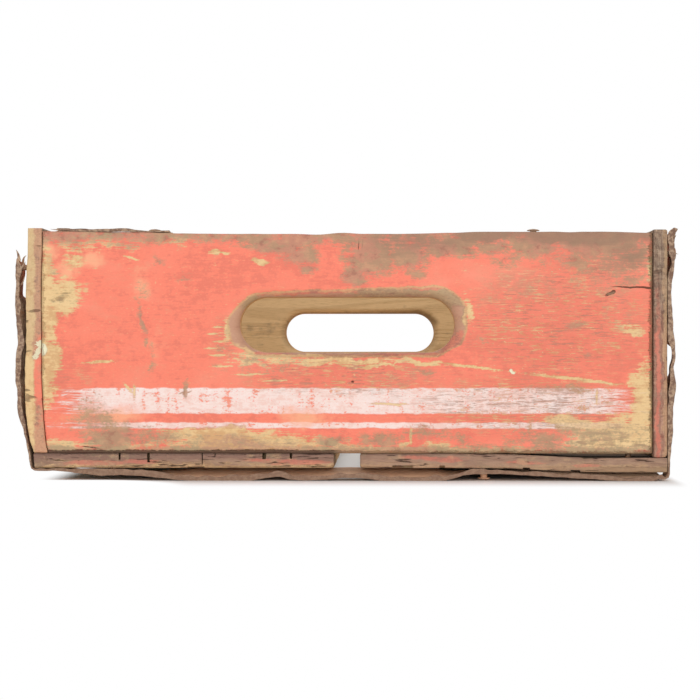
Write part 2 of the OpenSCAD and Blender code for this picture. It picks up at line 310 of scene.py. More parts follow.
class Graph:
    """Adds nodes to one new material and links them."""

    def __init__(self, name: str) -> None:
        """Starts an empty material."""
        self.material = bpy.data.materials.new(name)
        self.material.use_nodes = True
        self.tree = self.material.node_tree
        self.tree.nodes.clear()

    def node(self, kind: str, inputs: dict | None = None, **settings) -> bpy.types.Node:
        """Adds one node.

        Args:
            kind: The node's type, without its first word ShaderNode.
            inputs: Values or sockets by input name or number.
            settings: The node's own settings by name.

        Returns:
            The node.
        """
        made = self.tree.nodes.new("ShaderNode" + kind)
        for key, value in settings.items():
            setattr(made, key, value)
        for key, value in (inputs or {}).items():
            if isinstance(value, Socket):
                self.tree.links.new(value, made.inputs[key])
            else:
                made.inputs[key].default_value = value
        return made

    def math(self, operation: str, *values: Value, clamp: bool = False) -> Socket:
        """Adds a sum: operation is the node's own word for it, such as ADD."""
        made = self.node("Math", dict(enumerate(values)), operation=operation, use_clamp=clamp)
        return made.outputs[0]

    def highest(self, *values: Value) -> Socket:
        """Adds nodes that take the highest of two or more values."""
        top = values[0]
        for value in values[1:]:
            top = self.math("MAXIMUM", top, value)
        return top

    def product(self, *values: Value) -> Socket:
        """Adds nodes that multiply two or more values."""
        total = values[0]
        for value in values[1:]:
            total = self.math("MULTIPLY", total, value)
        return total

    def rise(self, value: Value, low: Value, high: Value) -> Socket:
        """Adds a smooth rise from 0 at low to 1 at high; a fall where low is the greater."""
        made = self.node("MapRange", {"Value": value, "From Min": low, "From Max": high},
                         interpolation_type="SMOOTHSTEP")
        return made.outputs[0]

    def blend(self, share: Value, under: Value, over: Value) -> Socket:
        """Adds a mix of two numbers: share 0 gives under and 1 gives over."""
        return self.node("Mix", {0: share, 2: under, 3: over}, data_type="FLOAT").outputs[0]

    def tint(self, share: Value, under: tuple | Socket, over: tuple | Socket,
             way: str = "MIX") -> Socket:
        """Adds a mix of two colours.

        Args:
            share: 0 gives under and 1 gives over.
            under: The first colour.
            over: The second colour.
            way: The node's own word for how they mix.

        Returns:
            The mixed colour.
        """
        made = self.node("Mix", {0: share, 6: under, 7: over}, data_type="RGBA", blend_type=way)
        return made.outputs[2]

    def stretch(self, place: Socket, scale: Place, shift: Place = (0, 0, 0)) -> Socket:
        """Adds a mapping that multiplies a place by scale and adds shift."""
        made = self.node("Mapping", {"Vector": place, "Location": shift, "Scale": scale})
        return made.outputs[0]

    def noise(self, place: Socket, scale: float = 1.0, detail: float = 3.0,
              roughness: float = 0.55, distortion: float = 0.0) -> Socket:
        """Adds smooth noise of about 0.2 to 0.8.

        Args:
            place: Where it is read.
            scale: Lumps for each unit of place.
            detail: How many finer noises are added to it.
            roughness: How strong the finer ones are.
            distortion: How much the lumps are stirred.

        Returns:
            The noise.
        """
        made = self.node("TexNoise", {"Vector": place, "Scale": scale, "Detail": detail,
                                      "Roughness": roughness, "Distortion": distortion})
        return made.outputs[0]

    def warp(self, place: Socket, scale: float, reach: float) -> Socket:
        """Adds nodes that stir a place, so that what is drawn there has ragged outlines.

        Args:
            place: The place to stir.
            scale: Stirs for each metre.
            reach: Furthest that a point moves, in metres.

        Returns:
            The stirred place.
        """
        stir = self.node("TexNoise", {"Vector": place, "Scale": scale, "Detail": 3.0,
                                      "Roughness": 0.6}).outputs[1]
        centred = self.node("VectorMath", {0: stir, 1: (0.5, 0.5, 0.5)}, operation="SUBTRACT")
        made = self.node("VectorMath", {0: centred.outputs[0], 1: (4 * reach,) * 3, 2: place},
                         operation="MULTIPLY_ADD")
        return made.outputs[0]


@dataclass(frozen=True)
class Patch:
    """A worn or dirty place on a painted face, as an ellipse in millimetres.

    Attributes:
        along: Distance along the board from the crate's middle.
        up: Height over the floor.
        half_l: Half its length.
        half_h: Half its height.
        tilt: Degrees that its length rises.
        share: How strong it is, 0 to 1.
    """

    along: float
    up: float
    half_l: float
    half_h: float
    tilt: float = 0.0
    share: float = 1.0

    def draw(self, graph: Graph, place: Socket) -> Socket:
        """Adds the nodes that draw the patch.

        Args:
            graph: Takes the nodes.
            place: Distance along, nothing and height over the floor, in metres.

        Returns:
            The patch's strength: share at its middle and 0 at its rim.
        """
        fitted = graph.node("Mapping", {
            "Vector": place,
            "Location": (self.along * MM, 0, self.up * MM),
            "Rotation": (0, -math.radians(self.tilt), 0),
            "Scale": (self.half_l * MM, 1, self.half_h * MM),
        }, vector_type="TEXTURE")
        round_off = graph.node("TexGradient", {"Vector": fitted.outputs[0]},
                               gradient_type="SPHERICAL").outputs[1]
        return round_off if self.share == 1 else graph.math("MULTIPLY", round_off, self.share)


def draw_patches(graph: Graph, place: Socket, patches: tuple[Patch, ...]) -> Value:
    """Adds several patches to a material.

    Args:
        graph: Takes the nodes.
        place: Distance along, nothing and height, in metres.
        patches: The patches; none gives 0.

    Returns:
        The strength of the strongest patch at a place.
    """
    if not patches:
        return 0.0
    return graph.highest(*(patch.draw(graph, place) for patch in patches))


@dataclass
class Layer:
    """What one layer of a finish gives at a place: its colour, roughness and height in mm."""

    colour: Socket | tuple
    rough: Value
    height: Value

    def under(self, graph: Graph, top: "Layer", mask: Value) -> "Layer":
        """Covers this layer with another.

        Args:
            graph: Takes the nodes.
            top: The layer that comes over it.
            mask: Where the top one is, 0 to 1.

        Returns:
            The two as one layer.
        """
        return Layer(graph.tint(mask, self.colour, top.colour),
                     graph.blend(mask, self.rough, top.rough),
                     graph.blend(mask, self.height, top.height))

    def surface(self, graph: Graph, gloss: float = 0.35, metal: float = 0.0,
                depth: float = 1.0) -> bpy.types.Material:
        """Finishes the material with this layer on top.

        Args:
            graph: Takes the nodes.
            gloss: Strength of the sheen.
            metal: Share of bare metal.
            depth: Multiplies the heights.

        Returns:
            The material.
        """
        bump = graph.node("Bump", {"Height": self.height, "Distance": depth * MM})
        shader = graph.node("BsdfPrincipled", {
            "Base Color": self.colour, "Roughness": self.rough, "Metallic": metal,
            "Specular IOR Level": gloss, "Normal": bump.outputs[0]})
        out = graph.node("OutputMaterial", {"Surface": shader.outputs[0]})
        out.is_active_output = True
        return graph.material


@dataclass
class Texture:
    """The noises that all layers of one board share, so that their marks line up.

    Attributes:
        place: Distance along the grain, through the board and across the grain.
        clouds: Soft shades of about 35 mm.
        blots: Ragged lumps of about 9 mm.
        mottle: Ragged lumps of about 4 mm.
        streaks: Strokes along the grain of about 14 mm by 1.2 mm.
        hairs: Strokes along the grain of about 7 mm by 0.6 mm.
        grit: Specks of about 1 mm.
    """

    place: Socket
    clouds: Socket
    blots: Socket
    mottle: Socket
    streaks: Socket
    hairs: Socket
    grit: Socket

    @classmethod
    def at(cls, graph: Graph, place: Socket) -> "Texture":
        """Adds the noises to a material.

        Args:
            graph: Takes the nodes.
            place: Distance along the grain, through the board and across the grain.

        Returns:
            The texture.
        """
        return cls(
            place,
            graph.noise(graph.stretch(place, (0.6, 1, 1)), 28, 4, 0.6, 0.3),
            graph.noise(graph.stretch(place, (0.7, 1, 1.1)), 110, 6, 0.72),
            graph.noise(graph.stretch(place, (0.8, 1, 1.1), (3, 1, 2)), 230, 4, 0.62),
            graph.noise(graph.stretch(place, (70, 300, 820)), detail=4, roughness=0.62),
            graph.noise(graph.stretch(place, (140, 300, 1700)), detail=3, roughness=0.6),
            graph.noise(graph.stretch(place, (750, 900, 1300)), detail=2, roughness=0.6),
        )

    def ragged(self, graph: Graph, strength: Value, blot: float = 0.0, streak: float = 0.0,
               hair: float = 0.0, mottle: float = 0.0, grit: float = 0.0) -> Socket:
        """Breaks up the outline of a mask.

        Args:
            graph: Takes the nodes.
            strength: The mask.
            blot: How far lumps break it up.
            streak: How far strokes do.
            hair: How far fine strokes do.
            mottle: How far small lumps do.
            grit: How far specks do.

        Returns:
            The mask with ragged outlines.
        """
        total = strength
        for mark, reach in ((self.blots, blot), (self.streaks, streak), (self.hairs, hair),
                            (self.mottle, mottle), (self.grit, grit)):
            if reach:
                total = graph.math("MULTIPLY_ADD", graph.math("SUBTRACT", mark, 0.5), reach,
                                   total)
        return total


@dataclass(frozen=True)
class BareWood:
    """Bare weathered softwood.

    Attributes:
        pale: Colour of the soft grain.
        deep: Colour of the hard lines.
        stain: Colour of old damp and dirt.
        stained: How much of it is stained, 0 to 1.
        relief: How far the lines stand up, in millimetres.
    """

    pale: tuple = shade(224, 192, 140)
    deep: tuple = shade(186, 146, 96)
    stain: tuple = shade(140, 118, 92)
    stained: float = 0.4
    relief: float = 0.12

    def layer(self, graph: Graph, texture: Texture) -> Layer:
        """Adds the wood's nodes.

        Args:
            graph: Takes the nodes.
            texture: The board's noises.

        Returns:
            The wood as a layer.
        """
        tree = graph.noise(graph.stretch(texture.place, (2.2, 30, 42)), detail=2,
                           distortion=0.5)
        lines = graph.math("SINE", graph.math("MULTIPLY", tree, 95.0))
        hard = graph.rise(lines, -0.2, 1.0)
        damp = texture.ragged(graph, texture.clouds, blot=0.5, mottle=0.4, streak=0.3)
        low = graph.rise(damp, 0.6 - 0.15 * self.stained, 0.78 - 0.15 * self.stained)
        speck = graph.rise(texture.hairs, 0.48, 0.7)
        grain = graph.math("ADD", graph.product(hard, 0.5), graph.product(speck, 0.6),
                           clamp=True)
        colour = graph.tint(grain, self.pale, self.deep)
        colour = graph.tint(graph.product(low, 0.7), colour, self.stain)
        height = graph.math("ADD", graph.product(hard, self.relief),
                            graph.product(texture.hairs, 2.4 * self.relief))
        return Layer(colour, graph.blend(low, 0.78, 0.9), height)


@dataclass(frozen=True)
class Paint:
    """One coat of old oil paint.

    Attributes:
        fresh: Colour where it has kept best.
        faded: Colour where the sun has bleached it.
        deep: Colour where it lies thick or greasy.
        rough: Roughness.
        thick: Height over the wood, in millimetres.
        speck: How strongly it is speckled, 0 to 1.
    """

    fresh: tuple
    faded: tuple
    deep: tuple
    rough: float = 0.55
    thick: float = 0.16
    speck: float = 0.35

    def layer(self, graph: Graph, texture: Texture) -> Layer:
        """Adds the paint's nodes.

        Args:
            graph: Takes the nodes.
            texture: The board's noises.

        Returns:
            The paint as a layer.
        """
        mixed = texture.ragged(graph, texture.clouds, streak=0.5, mottle=0.9)
        colour = graph.tint(graph.rise(mixed, 0.34, 0.52), self.deep, self.fresh)
        colour = graph.tint(graph.rise(texture.clouds, 0.52, 0.7), colour, self.faded)
        pale = graph.product(graph.rise(texture.grit, 0.52, 0.72), self.speck)
        colour = graph.tint(pale, colour, self.faded)
        dull = graph.product(graph.rise(texture.grit, 0.46, 0.28), self.speck)
        colour = graph.tint(dull, colour, self.deep)
        height = graph.math("MULTIPLY_ADD", texture.streaks, 0.1, self.thick)
        return Layer(colour, graph.blend(texture.clouds, self.rough + 0.12, self.rough - 0.1),
                     height)


@dataclass(frozen=True)
class Grime:
    """Dirt that lies on everything.

    Attributes:
        brown: Its reddish brown.
        olive: Its greenish grey.
        tan: Its palest dust.
        dark: Its darkest spots.
    """

    brown: tuple = shade(188, 142, 118)
    olive: tuple = shade(168, 146, 116)
    tan: tuple = shade(206, 162, 128)
    dark: tuple = shade(138, 104, 88)

    def layer(self, graph: Graph, texture: Texture) -> Layer:
        """Adds the dirt's nodes.

        Args:
            graph: Takes the nodes.
            texture: The board's noises.

        Returns:
            The dirt as a layer.
        """
        shift = texture.ragged(graph, texture.clouds, blot=1.6, mottle=0.8)
        colour = graph.tint(graph.rise(shift, 0.42, 0.6), self.brown, self.olive)
        colour = graph.tint(graph.product(graph.rise(texture.mottle, 0.5, 0.66), 0.6), colour,
                            self.tan)
        colour = graph.tint(graph.product(graph.rise(texture.mottle, 0.47, 0.34), 0.6), colour,
                            self.dark)
        return Layer(colour, 0.88, graph.math("MULTIPLY_ADD", texture.grit, 0.25, 0.05))


WOOD = BareWood(shade(222, 190, 140), shade(186, 148, 100))
GREY_WOOD = BareWood(shade(176, 148, 124), shade(132, 106, 90), shade(104, 84, 72), 0.6, 0.2)
INSIDE_WOOD = BareWood(shade(230, 196, 148), shade(204, 170, 124), shade(168, 142, 112), 0.3)
THROAT_WOOD = BareWood(shade(220, 171, 110), shade(198, 151, 92), shade(168, 133, 90), 0.4)
YELLOW = Paint(shade(232, 198, 144), shade(240, 208, 156), shade(214, 170, 120), 0.6, 0.1)
RED = Paint(shade(247, 131, 105), shade(249, 145, 118), shade(233, 122, 99), 0.5, 0.2)
RIM_RED = Paint(shade(194, 146, 120), shade(204, 158, 130), shade(184, 132, 108), 0.6, 0.14)
OLIVE = Paint(shade(170, 140, 108), shade(184, 158, 120), shade(146, 116, 90), 0.65, 0.14, 0.7)
WHITE = Paint(shade(246, 224, 216), shade(250, 238, 236), shade(240, 204, 192), 0.5, 0.3, 0.6)
OCHRE = Paint(shade(204, 166, 120), shade(218, 184, 134), shade(168, 132, 100), 0.6, 0.12, 0.6)
WARM = Paint(shade(204, 150, 116), shade(216, 166, 128), shade(158, 116, 94), 0.6, 0.14, 0.7)
OLD_RED = Paint(shade(214, 118, 98), shade(226, 140, 116), shade(176, 108, 92), 0.6, 0.14, 0.6)
DIRT = Grime()


@dataclass(frozen=True)
class FaceWear:
    """Where a painted face has lost its coats, in millimetres along and over the floor.

    Attributes:
        bare: Through to the wood.
        yellow: Red worn off, down to the yellow coat.
        faded: Red bleached pale.
        grime: Dirt lying on top.
        soot: Where that dirt is darkest.
        scratched: Fine scratches along the grain.
        scratches: Long single scratches, down to the yellow coat.
        cracks: Splits and knots in the wood.
        chalk: Chips of pale filler.
        drips: Paint that ran into the hand hole, with depth added to the height.
        rim_yellow: Where the hand hole's rim is rubbed down to the yellow coat.
        rim_red: Where its rim has kept some red.
        rim_olive: Where its rim is dark from hands.
        bands: Bands of dirt along the edges: the height where each starts, the height where
            it is full, and its strength.
        stripes: Height of the middle and half height of each white stripe.
        half_l: Half the length of the stripes.
    """

    bare: tuple[Patch, ...] = ()
    yellow: tuple[Patch, ...] = ()
    faded: tuple[Patch, ...] = ()
    grime: tuple[Patch, ...] = ()
    soot: tuple[Patch, ...] = ()
    scratched: tuple[Patch, ...] = ()
    scratches: tuple[Patch, ...] = ()
    cracks: tuple[Patch, ...] = ()
    chalk: tuple[Patch, ...] = ()
    drips: tuple[Patch, ...] = ()
    rim_yellow: tuple[Patch, ...] = ()
    rim_red: tuple[Patch, ...] = ()
    rim_olive: tuple[Patch, ...] = ()
    bands: tuple[tuple[float, float, float], ...] = ((108, 115, 0.8), (19, 14.5, 0.75))
    stripes: tuple[tuple[float, float], ...] = ((37.5, 6.0), (26.0, 1.4))
    half_l: float = 138


FRONT_WEAR = FaceWear(
    bare=(
        Patch(-134, 87, 10, 8, share=0.5), Patch(-45, 16, 50, 4.5, share=0.7),
        Patch(128, 19, 30, 8, share=0.6), Patch(0, 114.5, 150, 2.4, share=0.8),
    ),
    yellow=(
        Patch(-142, 84, 6.5, 34), Patch(-134.5, 87.5, 13, 11), Patch(-141, 52, 6.5, 24),
        Patch(-138.5, 57, 7, 10), Patch(-130, 17, 20, 5, share=0.6), Patch(-45, 17.5, 54, 8),
        Patch(-54.8, 21, 12, 7), Patch(0, 13, 170, 5), Patch(128, 20, 34, 14),
        Patch(139.5, 36, 10, 26), Patch(112, 27, 26, 4.4, -6), Patch(-2, 56, 30, 2.2),
        Patch(10, 53.6, 26, 1.4, share=0.8), Patch(34, 55.4, 14, 2), Patch(-41.7, 103, 6, 1.8),
        Patch(-60.6, 107, 6, 1.4, share=0.8), Patch(134, 71.5, 13, 3.4, share=0.6),
        Patch(143, 99.6, 4.5, 9), Patch(-117, 112, 32, 5, share=0.4),
        Patch(-80, 113, 14, 4, share=0.5), Patch(-128, 104, 9, 6, share=0.5),
        Patch(56, 79.5, 2.6, 12, share=0.55), Patch(-72, 21, 22, 5),
        Patch(-38, 57.6, 24, 2.8, share=0.6), Patch(-46, 53.6, 18, 2.2, share=0.5),
        Patch(-57, 70, 3.4, 8, share=0.55),
    ),
    faded=(
        Patch(-131.5, 100, 10, 10), Patch(-119, 104, 8, 7), Patch(-96, 92, 7, 13, share=0.6),
        Patch(-91, 62, 9, 14, share=0.4), Patch(-112, 30, 28, 9), Patch(-20, 30, 18, 6),
        Patch(-140, 108, 10, 6),
    ),
    grime=(
        Patch(-139.5, 101, 6, 8, share=0.25), Patch(-33, 111, 26, 6),
        Patch(-22, 106, 15, 8, share=0.7), Patch(-18, 99.6, 10, 3.6, 6, 0.6),
        Patch(9.5, 106.5, 16, 18), Patch(3.5, 96.5, 8, 8), Patch(-112, 113.5, 40, 5, share=0.5),
        Patch(30, 107, 14, 12), Patch(32, 98, 7, 3.6, -8, 0.6), Patch(48, 110, 19, 9),
        Patch(75, 104, 11, 7, share=0.5), Patch(87, 110, 18, 8), Patch(118, 111, 36, 8),
        Patch(68, 110, 18, 7, share=0.7), Patch(-24, 113.5, 22, 5),
        Patch(125, 101, 28, 15, share=0.6), Patch(105, 103, 24, 10, share=0.5),
        Patch(134, 93.6, 13, 5.5, share=0.7), Patch(105, 72.4, 9, 3, share=0.7),
        Patch(37, 21.5, 16, 7, share=0.4), Patch(54, 19.5, 11, 6, share=0.4),
        Patch(15.5, 19, 14, 6, share=0.6), Patch(-8, 18.5, 12, 6, share=0.7),
        Patch(-119, 28, 16, 15, share=0.55), Patch(-108, 19, 26, 9, share=0.75),
        Patch(-86, 20, 18, 6, share=0.5),
        Patch(-96.8, 74.5, 2.0, 14, 10, 0.8), Patch(-92, 58, 3, 13, share=0.3),
        Patch(-76.4, 41.5, 1.4, 7), Patch(-76.4, 41.2, 4, 1.2), Patch(98, 42.4, 24, 5, share=0.5),
        Patch(114, 58.8, 3, 2.6, share=0.6), Patch(37, 51, 14, 4, share=0.4),
        Patch(92, 20, 26, 8, share=0.6),
        Patch(-88, 103.5, 4, 3, share=0.6), Patch(-78, 96, 6, 3, share=0.4),
        Patch(112, 22, 44, 12, share=0.5), Patch(-50, 17, 60, 7, share=0.45),
        Patch(-60, 62, 4, 4, share=0.3), Patch(60, 66, 14, 4, share=0.3),
        Patch(-96, 90, 5, 10, share=0.25), Patch(-38, 55, 32, 8, share=0.35),
    ),
    soot=(
        Patch(112, 115.5, 56, 7), Patch(64, 115.5, 24, 5), Patch(30, 112, 44, 9, share=0.5),
        Patch(132, 106, 16, 12, share=0.5),
    ),
    scratched=(
        Patch(100, 74, 60, 36), Patch(0, 49, 62, 13), Patch(84, 36, 70, 18),
        Patch(-128, 48, 22, 10, share=0.35), Patch(-58, 66, 10, 16, share=0.7),
        Patch(120, 100, 34, 16, share=0.6),
    ),
    scratches=(
        Patch(58, 53.6, 24, 1.1, -7.2), Patch(106.9, 47.8, 38, 1.2, -6.6),
        Patch(-115.8, 55.8, 11, 1.1, 4), Patch(-103, 43.5, 5, 1.2, -48),
        Patch(-100, 41.5, 1.1, 5), Patch(117, 40, 1.0, 7), Patch(30, 21, 1.2, 7),
        Patch(-101, 104.6, 6, 1.0, -14), Patch(-60, 72.4, 5, 0.7), Patch(-63, 69, 4, 0.6),
        Patch(-59, 65.4, 7, 0.8), Patch(-64, 62.4, 5, 0.6), Patch(-60, 59, 8, 0.7),
        Patch(20, 36, 14, 0.9, -2), Patch(-46, 50, 12, 0.8), Patch(-34, 47, 10, 0.8, 1),
        Patch(-58, 53.6, 9, 0.6),
    ),
    cracks=(
        Patch(134, 90.8, 13, 0.42, -1.5), Patch(140, 90.5, 7, 0.6, -2),
        Patch(123, 88, 3.6, 0.8, 28), Patch(124.8, 88.8, 1.4, 1.0),
        Patch(5.2, 110.8, 0.4, 4, share=0.6), Patch(7.2, 111.4, 0.35, 3.4, share=0.6),
        Patch(-120, 15.6, 6, 0.5, -6), Patch(2.5, 46.5, 1.2, 0.7, share=0.6),
        Patch(-76.5, 41.4, 0.7, 2.4, share=0.7),
    ),
    chalk=(Patch(76.6, 51.8, 1.2, 1.3, 30), Patch(77.5, 50.7, 1.5, 0.9, -20), Patch(-143.4, 61.6, 3.4, 4, share=0.9)),
    drips=(Patch(-25.8, 96.5, 1.3, 7),),
    rim_yellow=(
        Patch(-26, 91.2, 26, 2.6, 1.2), Patch(-22, 56.8, 36, 3.2), Patch(4, 61.2, 9, 1.4),
        Patch(-47, 60, 8, 3, -30, 0.7), Patch(57, 80, 2.5, 12, -10),
    ),
    rim_red=(
        Patch(-22, 89, 34, 2.2, 1), Patch(38, 90.5, 16, 1.6), Patch(30, 58.6, 30, 2.4),
        Patch(50, 64, 10, 5, 40), Patch(-38, 59.6, 16, 1.4),
    ),
    rim_olive=(
        Patch(26, 91, 34, 7, 2), Patch(48, 88, 14, 10), Patch(58, 77, 5, 13),
        Patch(-46, 85, 8, 6, 40, 0.7),
    ),
)

REAR_WEAR = FaceWear(
    bare=(
        Patch(120, 100, 16, 8, share=0.7), Patch(30, 16, 60, 4.5, share=0.7),
        Patch(-125, 19, 26, 9, share=0.6), Patch(0, 113.5, 150, 3, share=0.8),
    ),
    yellow=(
        Patch(143, 70, 6, 50), Patch(-143, 60, 6, 46), Patch(126, 98, 18, 12),
        Patch(30, 17, 70, 7.5), Patch(0, 13, 170, 4.2), Patch(-126, 22, 30, 13),
        Patch(-6, 54.2, 40, 3.8), Patch(-60, 100, 16, 3), Patch(90, 60, 7, 14, 20),
        Patch(-100, 80, 20, 3, 4), Patch(56, 74, 4, 10, share=0.8),
    ),
    faded=(Patch(-90, 70, 34, 22), Patch(100, 40, 26, 12), Patch(20, 100, 30, 9)),
    grime=(
        Patch(0, 117, 190, 8.5), Patch(60, 110, 36, 10), Patch(-70, 108, 26, 9),
        Patch(-10, 22, 22, 8), Patch(110, 24, 20, 9), Patch(-116, 50, 8, 20, share=0.9),
        Patch(86, 86, 30, 12, share=0.5), Patch(-40, 45, 24, 7, share=0.6),
    ),
    scratched=(Patch(-70, 60, 70, 40), Patch(60, 40, 70, 18), Patch(80, 90, 50, 16)),
    scratches=(
        Patch(-80, 62, 40, 1.5, 6), Patch(70, 50, 26, 1.4, -4), Patch(100, 76, 12, 1.2, 12),
    ),
    cracks=(Patch(-128, 84, 15, 0.6, -1), Patch(70, 100, 3, 1.2, 20), Patch(20, 16, 9, 0.5, 3)),
    chalk=(Patch(-52, 44, 1.8, 1.6),),
    rim_yellow=(
        Patch(26, 91.2, 30, 2), Patch(-10, 57, 30, 3), Patch(56, 70, 4.5, 10),
    ),
    rim_red=(Patch(-20, 90, 30, 2.2), Patch(34, 58.4, 24, 2.2)),
    rim_olive=(Patch(-48, 84, 14, 10), Patch(-8, 89, 26, 5), Patch(44, 62, 12, 6)),
)

LEFT_WEAR = FaceWear(
    bare=(
        Patch(-150, 92, 40, 10, share=0.7), Patch(60, 22, 90, 7, share=0.8),
        Patch(170, 64, 30, 22, share=0.7), Patch(0, 117, 240, 4, share=0.9),
    ),
    yellow=(
        Patch(0, 118, 250, 9), Patch(0, 12, 250, 8), Patch(-226, 64, 17, 60),
        Patch(226, 64, 17, 60), Patch(-150, 90, 50, 13), Patch(66, 24, 90, 9),
        Patch(170, 62, 34, 24, 12), Patch(-40, 62, 26, 10, -8), Patch(60, 84, 44, 7, 4),
    ),
    faded=(Patch(-80, 70, 80, 24), Patch(110, 86, 60, 14)),
    grime=(
        Patch(0, 119, 270, 7), Patch(-90, 30, 60, 11), Patch(120, 30, 60, 12),
        Patch(30, 96, 50, 10, share=0.8), Patch(-180, 56, 24, 18, share=0.7),
        Patch(-223, 64, 10, 70, share=0.8), Patch(223, 64, 10, 70, share=0.8),
    ),
    scratched=(Patch(-60, 64, 130, 36), Patch(120, 70, 110, 32)),
    scratches=(
        Patch(-20, 50, 60, 1.6, 3), Patch(90, 96, 40, 1.4, -2), Patch(-130, 74, 30, 1.4, 7),
    ),
    cracks=(Patch(-196, 88, 38, 0.6, 1), Patch(180, 36, 52, 0.6, -1), Patch(20, 60, 4, 1.6, 10)),
    chalk=(Patch(110, 58, 2, 2), Patch(-60, 90, 1.6, 1.4)),
    stripes=((40, 6.0), (28.5, 1.4)), half_l=214,
)

RIGHT_WEAR = FaceWear(
    bare=(
        Patch(150, 90, 46, 11, share=0.7), Patch(-60, 22, 100, 7, share=0.8),
        Patch(-160, 76, 34, 20, share=0.7), Patch(0, 117, 240, 4, share=0.9),
    ),
    yellow=(
        Patch(0, 118, 250, 9), Patch(0, 12, 250, 8), Patch(-226, 64, 17, 60),
        Patch(226, 64, 17, 60), Patch(152, 92, 52, 14), Patch(-66, 24, 100, 9),
        Patch(-162, 74, 40, 24, -10), Patch(40, 70, 30, 9, 6), Patch(-40, 92, 50, 6, -3),
    ),
    faded=(Patch(70, 60, 80, 24), Patch(-110, 50, 60, 14)),
    grime=(
        Patch(0, 119, 270, 7), Patch(90, 30, 70, 11), Patch(-130, 32, 60, 12),
        Patch(-20, 100, 50, 9, share=0.8), Patch(186, 56, 24, 18, share=0.7),
        Patch(-223, 64, 10, 70, share=0.8), Patch(223, 64, 10, 70, share=0.8),
    ),
    scratched=(Patch(60, 64, 130, 36), Patch(-120, 70, 110, 32)),
    scratches=(
        Patch(30, 54, 70, 1.6, -3), Patch(-90, 84, 36, 1.4, 4), Patch(140, 66, 24, 1.4, 9),
    ),
    cracks=(Patch(200, 80, 36, 0.6, -1), Patch(-190, 44, 44, 0.6, 1), Patch(-30, 58, 3.6, 1.5)),
    chalk=(Patch(-110, 62, 2, 2),),
    stripes=((40, 6.0), (28.5, 1.4)), half_l=214,
)


